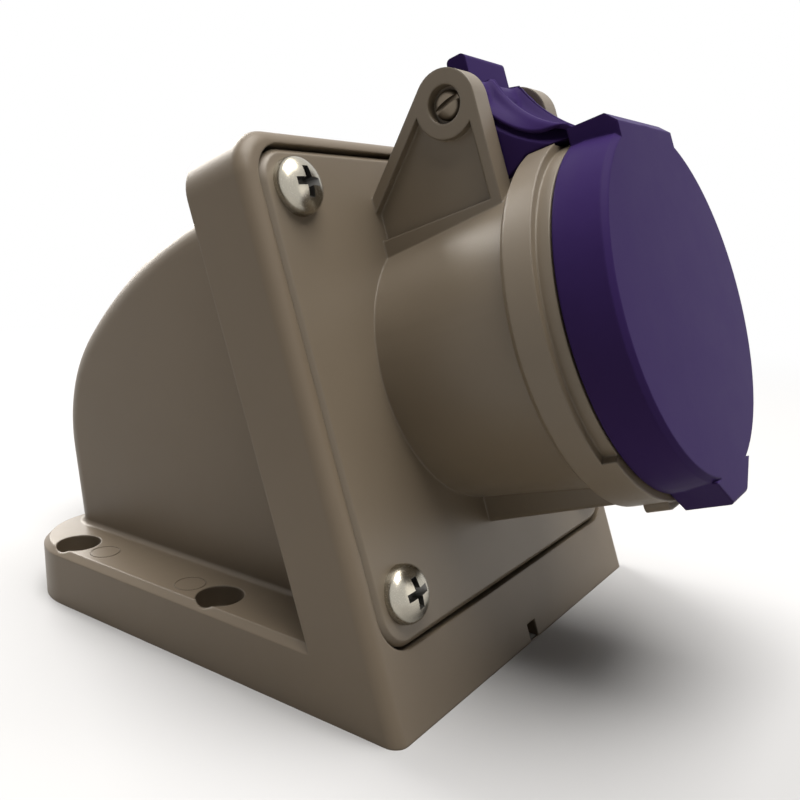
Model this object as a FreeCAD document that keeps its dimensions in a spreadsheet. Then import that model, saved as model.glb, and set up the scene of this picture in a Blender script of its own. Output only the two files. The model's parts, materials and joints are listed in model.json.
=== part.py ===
"""Industrial panel socket on its angled surface-mount box, as a parametric FreeCAD document.

Frame: millimetres, +Z away from the wall, origin on the wall plane midway between the four
mounting holes, +X to the right of someone who faces the lid. The lid looks towards -Y and leans
back. On the wall, +Y is up and the cable comes in through the gland at the top.

Most pieces are drawn in the face frame: origin where the collar's axis meets the plate's face, x to
the right, v up the slope and w out along the axis. new_body() places such a piece on the box.
"""
import FreeCAD, Part
import Sketcher
import math
import os

doc = FreeCAD.newDocument("AngledPanelSocket")
V = FreeCAD.Vector

# Driving dimensions: alias, value, what it is
DIMENSIONS = [
    ("lean_angle", 19.5, "lean of the front face away from upright"),
    ("box_width", 90.0, "width of the box"),
    ("hole_inset", 5.0, "mounting holes, from the box's sides"),
    ("hole_pitch_y", 41.0, "mounting hole spacing up the wall"),
    ("front_reach", 63.3, "origin to the front bottom edge"),
    ("rear_reach", 35.6, "origin to the rear edge of the flange"),
    ("flange_height", 11.5, "height of the mounting flange"),
    ("flange_corner", 15.0, "plan radius of the flange's rear corners"),
    ("flange_edge", 1.2, "chamfer of the flange's top edge"),
    ("root_radius", 1.0, "fillet where hood and slab rise from the flange"),
    ("slab_height", 97.0, "front slab, measured up its slope"),
    ("slab_thickness", 14.0, "front slab, measured along its normal"),
    ("slab_corner", 7.5, "radius of the slab's top corners"),
    ("slab_edge", 2.4, "rounding round the slab's front face"),
    ("slab_back_edge", 0.8, "chamfer round the slab's back face"),
    ("hood_width", 64.0, "width of the hood behind the slab"),
    ("hood_crown", 95.0, "radius of the hood's long top curve"),
    ("crown_y", -43.6, "centre of the top curve, along the wall"),
    ("crown_z", -9.8, "centre of the top curve, off the wall"),
    ("hood_foot", 31.6, "origin to the foot of the hood's rear wall"),
    ("hood_brow", 37.1, "origin to the rear wall's meeting with the top curve"),
    ("hood_knee", 32.0, "radius between the top curve and the rear wall"),
    ("hood_edge", 5.5, "rounding of the hood's long edges"),
    ("wall", 3.0, "wall of the box"),
    ("floor", 3.0, "wall side of the box"),
    ("hole_bore", 2.75, "radius of a mounting hole"),
    ("hole_counterbore", 4.3, "radius of a mounting hole's counterbore"),
    ("counterbore_depth", 4.0, "depth of that counterbore"),
    ("drain_side", 3.2, "side of the square drain hole"),
    ("drain_height", 3.4, "drain hole's centre up the slope"),
    ("recess_side", 2.9, "rim beside the plate's recess"),
    ("recess_top", 2.5, "rim above the recess"),
    ("recess_bottom", 12.8, "face below the recess"),
    ("recess_corner", 6.4, "corner radius of the recess"),
    ("plate_gap", 0.6, "gap between the plate and its recess"),
    ("plate_thickness", 4.0, "thickness of the socket's plate"),
    ("plate_edge", 0.9, "chamfer of the plate's front edge"),
    ("gasket_thickness", 1.2, "panel gasket, pressed"),
    ("ledge", 3.6, "width of the ledge under the gasket"),
    ("axis_height", 54.5, "collar axis up the slope"),
    ("screw_inset", 7.6, "plate screws, from the sides of the recess"),
    ("screw_low", 21.1, "lower plate screws, up the slope"),
    ("screw_high", 87.4, "upper plate screws, up the slope"),
    ("boss_radius", 5.2, "boss round each threaded insert"),
    ("insert_radius", 3.4, "outside of a threaded insert"),
    ("insert_length", 6.6, "length of a threaded insert"),
    ("screw_radius", 2.4, "shank of a plate screw"),
    ("screw_length", 11.4, "shank length under the head"),
    ("head_radius", 4.8, "head of a plate screw"),
    ("head_height", 3.2, "height of that head"),
    ("head_edge", 1.0, "chamfer of that head"),
    ("slot_width", 1.2, "width of the head's slot and cross"),
    ("slot_depth", 1.4, "depth of the head's slot and cross"),
    ("thread_clearance", 0.05, "radial clearance in a thread"),
    ("hole_clearance", 0.35, "radial clearance of a plain screw hole"),
    ("collar_foot", 25.7, "collar's outside radius at the plate"),
    ("collar_neck", 27.4, "collar's outside radius behind the ring"),
    ("collar_root", 1.2, "cone between plate and collar"),
    ("ring_radius", 31.0, "outside of the ring"),
    ("ring_start", 27.6, "ring's rear face, out from the plate"),
    ("ring_front", 33.4, "front of the ring's full radius"),
    ("ring_edge", 1.1, "chamfer of the ring's rear edge"),
    ("band_radius", 29.6, "stepped band in front of the ring"),
    ("band_front", 35.7, "front of that band"),
    ("apron_angle", 50.0, "half angle of the ring's lower apron"),
    ("lip_radius", 26.6, "outside of the sealing lip"),
    ("lip_front", 38.2, "front of the sealing lip"),
    ("bore_radius", 23.2, "bore of the collar's mouth, for the plug's skirt"),
    ("bore_relief", 0.6, "widening of that bore behind the mouth"),
    ("bore_step", 1.0, "start of the mouth, before the contact carrier's face"),
    ("bore_floor", 3.0, "floor of the bore, behind the plate's face"),
    ("floor_thickness", 5.0, "thickness of that floor"),
    ("sleeve_depth", 15.0, "rear sleeve, behind the plate's face"),
    ("key_half", 5.0, "half width of the keyway rib"),
    ("key_corner", 0.8, "corner radius of that rib"),
    ("key_depth", 30.1, "outer face of the keyway rib, from the axis"),
    ("key_slot_half", 2.9, "half width of the keyway inside"),
    ("key_slot_depth", 27.6, "bottom of the keyway, from the axis"),
    ("catch_half", 6.5, "half width of the catch under the ring"),
    ("catch_depth", 31.9, "underside of the catch, from the axis"),
    ("catch_start", 30.6, "rear of the catch, out from the plate"),
    ("catch_front", 34.8, "front of the catch"),
    ("catch_corner", 1.2, "corner radius of the catch"),
    ("notch_half", 11.0, "half width of the notch for the lid's arm"),
    ("notch_floor", 28.7, "floor of the notch, from the axis"),
    ("pivot_v", 40.9, "hinge axis above the collar axis"),
    ("pivot_w", 18.5, "hinge axis out from the plate"),
    ("ear_radius", 5.7, "rounded top of a hinge ear"),
    ("ear_inner", 10.7, "inner face of a hinge ear, from the centre line"),
    ("ear_outer", 15.2, "outer face of a hinge ear, from the centre line"),
    ("ear_slope", 43.2, "slope of the ear's rear edge, away from the collar axis"),
    ("ear_rim", 1.9, "width of the raised rim round an ear"),
    ("ear_recess", 1.6, "depth of the web inside that rim"),
    ("ear_boss", 5.6, "radius of the ring round the pin"),
    ("ear_counterbore", 3.1, "counterbore for the pin's head"),
    ("ear_counterbore_depth", 2.0, "depth of that counterbore"),
    ("pin_radius", 2.0, "hinge pin"),
    ("pin_head_radius", 2.4, "head of the hinge pin"),
    ("pin_head_height", 1.5, "height of that head"),
    ("pin_slot", 0.8, "width and depth of the slot in that head"),
    ("pin_end", 0.6, "pin beyond its clip"),
    ("clip_thickness", 0.8, "thickness of the pin's clip"),
    ("hinge_clearance", 0.08, "radial clearance of the lid on its pin"),
    ("barrel_radius", 4.6, "hinge barrel of the lid"),
    ("barrel_gap", 0.4, "gap between barrel and ear"),
    ("spring_room", 3.7, "radius of the room for the spring"),
    ("spring_half", 4.9, "half length of that room"),
    ("spring_wire", 0.4, "radius of the spring's wire"),
    ("spring_mean", 2.8, "mean radius of the spring's coils"),
    ("spring_coils", 6.0, "number of the spring's coils"),
    ("spring_pitch", 1.35, "pitch of the spring"),
    ("spring_leg", 8.2, "spring's leg behind the lever"),
    ("spring_socket", 1.6, "depth of the hole for the spring's lower leg"),
    ("lid_radius", 29.9, "lid at its rim"),
    ("lid_face_radius", 29.3, "lid at its face"),
    ("lid_rim", 36.2, "rear of the lid's rim, out from the plate"),
    ("lid_belt", 38.8, "front of the lid's straight rim, out from the plate"),
    ("lid_face", 44.2, "face of the lid, out from the plate"),
    ("lid_edge", 0.8, "chamfer round the lid's face"),
    ("lid_wall", 2.3, "side wall of the lid"),
    ("lid_top", 2.6, "thickness of the lid's face"),
    ("block_half", 12.0, "half width of the lid's top block"),
    ("block_top", 30.1, "top of that block, from the axis"),
    ("block_chamfer", 1.7, "chamfer along its front edge"),
    ("tab_root", 9.5, "half width of the finger tab where it leaves the rim"),
    ("tab_tip", 3.6, "half width of the finger tab's tip"),
    ("tab_depth", 32.7, "tip of the finger tab, from the axis"),
    ("saddle_radius", 23.0, "hollow of the hinge arm"),
    ("saddle_foot", 3.9, "start of that hollow, before the hinge axis"),
    ("arm_top", 30.6, "hinge arm where it meets the lid, from the axis"),
    ("arm_foot", 29.3, "underside of the hinge arm, from the axis"),
    ("arm_sweep", 14.9, "radius of the arm's deep part about the hinge axis"),
    ("arm_rear", 1.0, "rear of that part, behind the hinge axis"),
    ("arm_clearance", 1.0, "gap between that part and the collar"),
    ("arm_wall", 1.7, "wall round the hollow under the arm"),
    ("arm_hollow", 25.5, "front of that hollow, out from the plate"),
    ("arm_round", 2.4, "chamfer along the arm's long edges"),
    ("rib_thickness", 1.2, "thickness of the arm's two ribs"),
    ("rib_inset", 5.0, "ribs from the centre line, where they leave the barrel"),
    ("rib_spread", 21.0, "angle between a rib and the middle plane"),
    ("rib_lift", 3.6, "start of the ribs' hollow, above the hinge axis"),
    ("rib_start", 4.5, "start of that hollow, before the hinge axis"),
    ("rib_foot", 31.0, "end of that hollow, from the collar's axis"),
    ("rib_radius", 24.0, "radius of that hollow"),
    ("lever_half", 6.9, "half width of the thumb lever"),
    ("lever_top", 9.4, "top of the thumb lever, above the hinge axis"),
    ("lever_rear", 2.1, "rear of the lever, behind the hinge axis"),
    ("lever_front", 1.6, "front of the lever, before the hinge axis"),
    ("lever_edge", 0.9, "rounding of the lever's top"),
    ("lever_hollow", 4.4, "top of the hollow under the lever, above the hinge axis"),
    ("seal_inner", 23.9, "inside radius of the lid gasket"),
    ("seal_clearance", 0.1, "radial clearance of the lid gasket"),
    ("carrier_radius", 17.7, "contact carrier's boss"),
    ("carrier_face", 21.0, "face of the contact carrier, out from the plate"),
    ("carrier_edge", 0.8, "chamfer round the carrier's face"),
    ("carrier_flange", 22.6, "radius of the carrier's flange"),
    ("carrier_flange_thickness", 3.0, "thickness of that flange"),
    ("carrier_tail", 3.0, "carrier behind its flange"),
    ("carrier_hole", 18.0, "hole for the carrier in the bore's floor"),
    ("contact_circle", 9.0, "radius on which the contacts stand"),
    ("live_angle", 60.0, "line and neutral contacts, round from the top of that circle"),
    ("contact_mouth", 2.4, "thickness of the carrier in front of a contact"),
    ("live_pin", 2.5, "radius of a line or neutral pin"),
    ("earth_pin", 3.5, "radius of the earth pin"),
    ("sleeve_wall", 0.95, "wall of a contact sleeve"),
    ("sleeve_slit", 0.6, "width of the slits in a sleeve"),
    ("slit_length", 14.0, "length of those slits"),
    ("pin_clearance", 0.1, "clearance round a pin in its sleeve"),
    ("mouth_clearance", 0.4, "clearance round a pin in the carrier's mouth"),
    ("ring_band", 0.8, "thickness and width of a sleeve's clamping ring"),
    ("contact_collar", 1.2, "thickness of a contact's trapped collar"),
    ("fit_clearance", 0.1, "clearance of a contact in its hole"),
    ("back_depth", 11.0, "carrier back, along the axis"),
    ("terminal_depth", 9.5, "contact's terminal behind its collar"),
    ("wire_bore", 1.9, "wire hole in a terminal"),
    ("terminal_screw", 1.5, "radius of a terminal screw"),
    ("terminal_head", 2.2, "head of a terminal screw"),
    ("carrier_screw", 1.5, "radius of a carrier fixing screw"),
    ("carrier_screw_at", 20.3, "carrier fixing screws, from the axis"),
    ("back_screw", 1.9, "radius of the screw through the carrier's back"),
    ("back_head", 2.75, "radius of that screw's head"),
    ("gland_z", 27.0, "cable gland above the wall"),
    ("gland_face", 38.2, "origin to the gland's seat"),
    ("gland_boss", 14.6, "boss under the gland"),
    ("gland_radius", 9.9, "gland body's thread"),
    ("gland_hole", 10.2, "hole for the gland"),
    ("gland_flats", 24.0, "gland's hexagon across flats"),
    ("gland_hexagon", 4.2, "length of the gland body's hexagon"),
    ("gland_inside", 14.6, "gland thread inside its seat"),
    ("gland_outside", 8.6, "gland thread outside its hexagon"),
    ("gland_bore", 6.8, "bore of the gland body"),
    ("gland_nut_length", 11.0, "length of the dome nut"),
    ("dome_edge", 3.0, "cone at the dome nut's end"),
    ("gland_nut_bore", 6.2, "opening of the dome nut"),
    ("seal_length", 7.0, "length of the gland's seal"),
    ("cable_radius", 4.5, "cable hole in the gland's seal"),
    ("locknut_thickness", 4.0, "thickness of the lock nut"),
    ("washer_thickness", 1.4, "sealing washer of the gland, pressed"),
]


class Size:
    """A dimension that knows its value and its spreadsheet formula."""

    def __init__(self, value, formula):
        self.value = float(value)
        self.formula = formula

    def _join(self, other, sign, value):
        other = as_size(other)
        return Size(value(self.value, other.value), f"({self.formula} {sign} {other.formula})")

    def __add__(self, other):
        return self._join(other, "+", lambda a, b: a + b)

    def __sub__(self, other):
        return self._join(other, "-", lambda a, b: a - b)

    def __mul__(self, other):
        return self._join(other, "*", lambda a, b: a * b)

    def __truediv__(self, other):
        return self._join(other, "/", lambda a, b: a / b)

    def __radd__(self, other):
        return as_size(other) + self

    def __rsub__(self, other):
        return as_size(other) - self

    def __rmul__(self, other):
        return as_size(other) * self

    def __neg__(self):
        return Size(-self.value, f"(0 - {self.formula})")


def as_size(number):
    return number if isinstance(number, Size) else Size(number, f"{float(number):.6g}")


def root(size):
    return Size(math.sqrt(size.value), f"sqrt({size.formula})")


def sine(angle):
    return Size(math.sin(math.radians(angle.value)), f"sin({angle.formula})")


def cosine(angle):
    return Size(math.cos(math.radians(angle.value)), f"cos({angle.formula})")


def fill_sheet():
    """The spreadsheet of driving dimensions, and a Size for each alias."""
    sheet = doc.addObject("Spreadsheet::Sheet", "sizes")
    sizes = {}
    for row, (alias, value, meaning) in enumerate(DIMENSIONS, start=1):
        sheet.set(f"A{row}", meaning)
        sheet.set(f"B{row}", str(value))
        sheet.setAlias(f"B{row}", alias)
        sizes[alias] = Size(value, f"sizes.{alias}")
    doc.recompute()
    return sizes


D = fill_sheet()


def bind(obj, prop, size):
    """Ties one property of an object to its formula in the spreadsheet."""
    obj.setExpression(prop, as_size(size).formula)


def move_to(obj, x=0, y=0, z=0, tilt=None):
    """Places an object by formulas. tilt turns it about the X axis."""
    x, y, z = as_size(x), as_size(y), as_size(z)
    turn = FreeCAD.Rotation(V(1, 0, 0), tilt.value) if tilt else FreeCAD.Rotation()
    obj.Placement = FreeCAD.Placement(V(x.value, y.value, z.value), turn)
    bind(obj, "Placement.Base.x", x)
    bind(obj, "Placement.Base.y", y)
    bind(obj, "Placement.Base.z", z)
    if tilt:
        bind(obj, "Placement.Rotation.Angle", tilt)


FACE_TILT = 90 - D["lean_angle"]
AXIS_Y = D["axis_height"] * sine(D["lean_angle"]) - D["front_reach"]
AXIS_Z = D["axis_height"] * cosine(D["lean_angle"])


def new_body(name, in_face_frame=False):
    body = doc.addObject("PartDesign::Body", name)
    body.Label = name
    if in_face_frame:
        move_to(body, 0, AXIS_Y, AXIS_Z, FACE_TILT)
    return body


def new_sketch(body, role, offset=0, lean=None):
    """A sketch on one of the body's own planes.

    offset moves it along the plane's normal, and lean turns it about its own X axis.
    """
    offset = as_size(offset)
    sketch = body.newObject("Sketcher::SketchObject", f"{body.Name}_sketch")
    plane = next(item for item in body.Origin.OriginFeatures if item.Role == role)
    sketch.AttachmentSupport = (plane, [""])
    sketch.MapMode = "FlatFace"
    turn = FreeCAD.Rotation(V(1, 0, 0), lean.value) if lean else FreeCAD.Rotation()
    sketch.AttachmentOffset = FreeCAD.Placement(V(0, 0, offset.value), turn)
    bind(sketch, "AttachmentOffset.Base.z", offset)
    if lean:
        bind(sketch, "AttachmentOffset.Rotation.Angle", lean)
    return sketch


def hold(sketch, kind, *where, size):
    """Adds one dimension to a sketch and ties it to its formula."""
    index = sketch.addConstraint(Sketcher.Constraint(kind, *where, size.value))
    bind(sketch, f"Constraints[{index}]", size)


def arc_between(start, end, radius):
    """The arc from start to end. A positive radius turns left, a negative one right."""
    span = end - start
    rise = math.sqrt(max(radius * radius - span.Length * span.Length / 4, 0))
    left = V(-span.y, span.x, 0).normalize()
    centre = (start + end) * 0.5 + left * (rise if radius > 0 else -rise)
    first, last = (start, end) if radius > 0 else (end, start)
    angles = [math.atan2(point.y - centre.y, point.x - centre.x) for point in (first, last)]
    circle = Part.Circle(centre, V(0, 0, 1), abs(radius))
    return Part.ArcOfCircle(circle, angles[0], angles[1])


def outline(sketch, points):
    """Closed outline. Each point is (x, y), or (x, y, radius) where an arc leads to the next."""
    corners = [[as_size(number) for number in point] for point in points]
    places = [V(corner[0].value, corner[1].value, 0) for corner in corners]
    ends = []
    for index, corner in enumerate(corners):
        start, end = places[index], places[(index + 1) % len(places)]
        if len(corner) == 3:
            item = sketch.addGeometry(arc_between(start, end, corner[2].value), False)
            ends.append((item, 1, 2) if corner[2].value > 0 else (item, 2, 1))
            size = corner[2] if corner[2].value > 0 else -corner[2]
            hold(sketch, "Radius", item, size=size)
        else:
            item = sketch.addGeometry(Part.LineSegment(start, end), False)
            ends.append((item, 1, 2))
    for index, corner in enumerate(corners):
        item, first, _ = ends[index]
        before, _, last = ends[index - 1]
        sketch.addConstraint(Sketcher.Constraint("Coincident", before, last, item, first))
        hold(sketch, "DistanceX", -1, 1, item, first, size=corner[0])
        hold(sketch, "DistanceY", -1, 1, item, first, size=corner[1])


def circle(sketch, x, y, radius):
    x, y, radius = as_size(x), as_size(y), as_size(radius)
    shape = Part.Circle(V(x.value, y.value, 0), V(0, 0, 1), radius.value)
    item = sketch.addGeometry(shape, False)
    hold(sketch, "Radius", item, size=radius)
    hold(sketch, "DistanceX", -1, 1, item, 3, size=x)
    hold(sketch, "DistanceY", -1, 1, item, 3, size=y)


def box_outline(sketch, low_x, low_y, high_x, high_y, corner=None):
    """A rectangle from its lowest to its highest corner, with round corners if asked."""
    if corner is None:
        outline(sketch, [(low_x, low_y), (high_x, low_y), (high_x, high_y), (low_x, high_y)])
        return
    outline(sketch, [
        (low_x + corner, low_y), (high_x - corner, low_y, corner),
        (high_x, low_y + corner), (high_x, high_y - corner, corner),
        (high_x - corner, high_y), (low_x + corner, high_y, corner),
        (low_x, high_y - corner), (low_x, low_y + corner, corner),
    ])


def finish_feature(feature, sketch):
    sketch.Visibility = False
    doc.recompute()
    return feature


def pad(body, sketch, length, both=False, back=False):
    feature = body.newObject("PartDesign::Pad", f"{body.Name}_pad")
    feature.Profile = sketch
    feature.Midplane = both
    feature.Reversed = back
    bind(feature, "Length", length)
    return finish_feature(feature, sketch)


def pocket(body, sketch, length, both=False, back=False):
    """Cuts along the sketch's normal, or against it with back."""
    before = body.Shape.Volume
    feature = body.newObject("PartDesign::Pocket", f"{body.Name}_pocket")
    feature.Profile = sketch
    feature.Midplane = both
    feature.Reversed = not back
    bind(feature, "Length", length)
    finish_feature(feature, sketch)
    if not feature.Shape.Volume < before:
        raise ValueError(f"{feature.Name} cuts nothing")
    return feature


def revolve(body, sketch, cut=False, axis="V_Axis"):
    kind = "Groove" if cut else "Revolution"
    feature = body.newObject(f"PartDesign::{kind}", f"{body.Name}_turned")
    feature.Profile = sketch
    feature.ReferenceAxis = (sketch, [axis])
    feature.Angle = 360
    return finish_feature(feature, sketch)


def pick(feature, test):
    """Names of the feature's edges that pass the test."""
    names = [f"Edge{n}" for n, edge in enumerate(feature.Shape.Edges, start=1) if test(edge)]
    if not names:
        raise ValueError(f"no edge found on {feature.Name}")
    return names


def fillet(body, feature, radius, test):
    rounded = body.newObject("PartDesign::Fillet", f"{body.Name}_fillet")
    rounded.Base = (feature, pick(feature, test))
    bind(rounded, "Radius", radius)
    doc.recompute()
    return rounded


def chamfer(body, feature, size, test):
    cut = body.newObject("PartDesign::Chamfer", f"{body.Name}_chamfer")
    cut.Base = (feature, pick(feature, test))
    bind(cut, "Size", size)
    doc.recompute()
    return cut


def near(first, second, slack=0.02):
    return abs(first - as_size(second).value) < slack


def middle(edge):
    return edge.valueAt((edge.FirstParameter + edge.LastParameter) / 2)


def fuse(name, shapes):
    joined = doc.addObject("Part::MultiFuse", name)
    joined.Shapes = shapes
    joined.Refine = True
    return joined


def cut_from(name, base, tool):
    cut = doc.addObject("Part::Cut", name)
    cut.Base = base
    cut.Tool = tool
    cut.Refine = True
    return cut


def upright(name, radius, height, x=0, y=0, z=0):
    """A cylinder along Z."""
    cylinder = doc.addObject("Part::Cylinder", name)
    bind(cylinder, "Radius", radius)
    bind(cylinder, "Height", height)
    move_to(cylinder, x, y, z)
    return cylinder


PLATE_BACK = -D["plate_thickness"]
SEAT = PLATE_BACK - D["gasket_thickness"]
HALF = D["box_width"] / 2
RECESS_X = HALF - D["recess_side"]
RECESS_LOW = D["recess_bottom"] - D["axis_height"]
RECESS_HIGH = D["slab_height"] - D["recess_top"] - D["axis_height"]
SCREW_X = RECESS_X - D["screw_inset"]
SCREW_ROWS = [D["screw_low"] - D["axis_height"], D["screw_high"] - D["axis_height"]]
SCREW_PLACES = [(side * SCREW_X, row) for side in (-1, 1) for row in SCREW_ROWS]
LEAN_SIN = sine(D["lean_angle"])
LEAN_COS = cosine(D["lean_angle"])
SPRING_END = D["spring_coils"] * D["spring_pitch"] / 2
SPRING_REST = root(D["collar_foot"] * D["collar_foot"] - SPRING_END * SPRING_END) + D["spring_wire"]
# Straight stretches in one turn of the spring
SPRING_STEPS = 14
# Share of the slab's height where the hood's crown runs into it
CROWN_START = 0.92
# How far a cut is carried past the face that it opens, and a boss into the solid that carries it
PAST = 1
BITE = 0.2


def crown_height(y, inset=0):
    """Height of the hood's top curve at a place along the wall."""
    radius = D["hood_crown"] - inset
    along = y - D["crown_y"]
    return D["crown_z"] + root(radius * radius - along * along)


def slab_line(depth, z):
    """Place along the wall of a plane at this depth behind the slab's face, at height z."""
    return depth / LEAN_COS + z * (LEAN_SIN / LEAN_COS) - D["front_reach"]


def hood_outline(sketch, inset, base):
    """Side profile of the hood, or of the room in it: crown, rear wall and base line."""
    slab_depth = D["slab_thickness"] / 2
    crown_start = slab_line(slab_depth, D["slab_height"] * LEAN_COS * CROWN_START)
    brow, foot = D["hood_brow"] - inset, D["hood_foot"] - inset
    outline(sketch, [
        (slab_line(slab_depth, base), base),
        (foot, base),
        (brow, crown_height(brow, inset), D["hood_crown"] - inset),
        (crown_start, crown_height(crown_start, inset)),
    ])


def make_box_outside():
    """Hood, flange and slab of the box, with their rounded edges, still solid."""
    return fuse("box_outside", [make_hood(), make_slab()])


def make_hood():
    """The hood and the flange that it stands on."""
    body = new_body("box_hood")
    side = new_sketch(body, "YZ_Plane")
    hood_outline(side, as_size(0), as_size(0))
    hood = pad(body, side, D["hood_width"], both=True)
    brow_z = crown_height(D["hood_brow"])
    hood = fillet(body, hood, D["hood_knee"], lambda e: near(middle(e).z, brow_z)
                  and near(middle(e).y, D["hood_brow"]))
    fillet(body, hood, D["hood_edge"], lambda e: near(abs(middle(e).x), D["hood_width"] / 2)
           and middle(e).z > D["floor"].value
           and middle(e).y > slab_line(D["slab_thickness"], middle(e).z).value)
    flange = round_flange(body)

    def at_root(edge):
        p = middle(edge)
        return (near(p.z, D["flange_height"]) and abs(p.x) < D["hood_width"].value / 2 + BITE
                and p.y < D["hood_foot"].value + BITE
                and p.y > slab_line(D["slab_thickness"], D["flange_height"]).value)

    fillet(body, flange, D["root_radius"], at_root)
    return body


def round_flange(body):
    """The flange that lies on the wall, with its top edge rounded."""
    plan = new_sketch(body, "XY_Plane")
    corner, rear = D["flange_corner"], D["rear_reach"]
    start = D["slab_thickness"] / 2 - D["front_reach"]
    outline(plan, [
        (-HALF, start), (HALF, start), (HALF, rear - corner, corner), (HALF - corner, rear),
        (corner - HALF, rear, corner), (-HALF, rear - corner),
    ])
    flange = pad(body, plan, D["flange_height"])
    beside = D["hood_width"].value / 2 + 1

    def on_rim(edge):
        p = middle(edge)
        outer = abs(p.x) > beside and p.y > start.value + 1
        return near(p.z, D["flange_height"]) and (outer or near(p.y, rear))

    return chamfer(body, flange, D["flange_edge"], on_rim)


def make_slab():
    """The full-width slab that carries the socket, leaning back from its bottom edge."""
    body = new_body("box_slab")
    slab_side = new_sketch(body, "YZ_Plane")
    top_y = D["slab_height"] * LEAN_SIN - D["front_reach"]
    top_z = D["slab_height"] * LEAN_COS
    outline(slab_side, [
        (-D["front_reach"], 0),
        (slab_line(D["slab_thickness"], as_size(0)), 0),
        (top_y + D["slab_thickness"] * LEAN_COS, top_z - D["slab_thickness"] * LEAN_SIN),
        (top_y, top_z),
    ])
    slab = pad(body, slab_side, D["box_width"], both=True)
    slab = fillet(body, slab, D["slab_corner"], lambda e: near(abs(middle(e).x), HALF)
                  and middle(e).z > top_z.value / 2 and near(e.Length, D["slab_thickness"]))

    def on_plane(edge, depth):
        ends = [vertex.Point for vertex in edge.Vertexes] + [middle(edge)]
        return all(near(p.y, slab_line(depth, p.z)) for p in ends) and middle(edge).z > 1

    slab = fillet(body, slab, D["slab_edge"], lambda e: on_plane(e, as_size(0)))
    chamfer(body, slab, D["slab_back_edge"], lambda e: on_plane(e, D["slab_thickness"]))
    return body


def make_box_room():
    """Everything that is hollow in front: recess for the plate, room in the slab, room in the hood."""
    face = new_body("box_room_front", in_face_frame=True)
    room_depth = D["slab_thickness"] - D["wall"]
    ledge = D["ledge"]
    room = new_sketch(face, "XY_Plane", -room_depth)
    box_outline(room, ledge - RECESS_X, RECESS_LOW + ledge, RECESS_X - ledge, RECESS_HIGH - ledge,
                D["recess_corner"] / 2)
    pad(face, room, room_depth)
    bosses = new_sketch(face, "XY_Plane", -room_depth)
    for x, row in SCREW_PLACES:
        circle(bosses, x, row, D["boss_radius"])
    pocket(face, bosses, room_depth)
    recess = new_sketch(face, "XY_Plane", SEAT)
    box_outline(recess, -RECESS_X, RECESS_LOW, RECESS_X, RECESS_HIGH, D["recess_corner"])
    pad(face, recess, D["slab_thickness"])
    hood = new_body("box_room_hood")
    side = new_sketch(hood, "YZ_Plane")
    hood_outline(side, D["wall"], D["floor"])
    block = pad(hood, side, D["hood_width"] - 2 * D["wall"], both=True)
    brow = D["hood_brow"] - D["wall"]
    fillet(hood, block, D["hood_knee"] - D["wall"], lambda e: near(middle(e).y, brow)
           and near(middle(e).x, 0))
    return fuse("box_room", [face, hood])


def face_hole(name, x, row, top, radius, depth):
    """A round hole square to the front face, from a level at or behind it."""
    hole = doc.addObject("Part::Cylinder", name)
    bind(hole, "Radius", radius)
    bind(hole, "Height", depth)
    level = top - depth
    move_to(hole, x, AXIS_Y + row * LEAN_SIN - level * LEAN_COS,
            AXIS_Z + row * LEAN_COS + level * LEAN_SIN, FACE_TILT)
    return hole


def along_wall(name, radius, start, length, z):
    """A cylinder along Y over the centre line, as for the cable entry."""
    rod = doc.addObject("Part::Cylinder", name)
    bind(rod, "Radius", radius)
    bind(rod, "Height", length)
    move_to(rod, 0, start + length, z, as_size(90))
    return rod


def make_box():
    shell = cut_from("box_shell", make_box_outside(), make_box_room())
    boss_length = D["gland_face"] - D["hood_foot"] + D["wall"]
    entry_boss = along_wall("entry_boss", D["gland_boss"], D["gland_face"] - boss_length,
                            boss_length, D["gland_z"])
    bossed = fuse("box_bossed", [shell, entry_boss])
    holes = [along_wall("entry_hole", D["gland_hole"], D["gland_face"] - 2 * boss_length,
                        3 * boss_length, D["gland_z"])]
    for n, (x, row) in enumerate(SCREW_PLACES):
        holes.append(face_hole(f"insert_hole_{n}", x, row, SEAT, D["insert_radius"], D["insert_length"]))
    for n, (side, end) in enumerate([(-1, -1), (-1, 1), (1, -1), (1, 1)]):
        x, y = side * (HALF - D["hole_inset"]), end * D["hole_pitch_y"] / 2
        holes.append(upright(f"mount_hole_{n}", D["hole_bore"], D["flange_height"], x, y))
        holes.append(upright(f"mount_seat_{n}", D["hole_counterbore"], D["counterbore_depth"], x, y,
                             D["flange_height"] - D["counterbore_depth"]))
    drain = doc.addObject("Part::Box", "drain_hole")
    side = D["drain_side"]
    for prop, size in (("Length", side), ("Width", side), ("Height", 2 * D["wall"])):
        bind(drain, prop, size)
    row = D["drain_height"] - D["axis_height"] - side
    move_to(drain, -side / 2, AXIS_Y + row * LEAN_SIN + D["wall"] * LEAN_COS,
            AXIS_Z + row * LEAN_COS - D["wall"] * LEAN_SIN, FACE_TILT)
    holes.append(drain)
    return cut_from("box", bossed, fuse("box_holes", holes))


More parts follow.
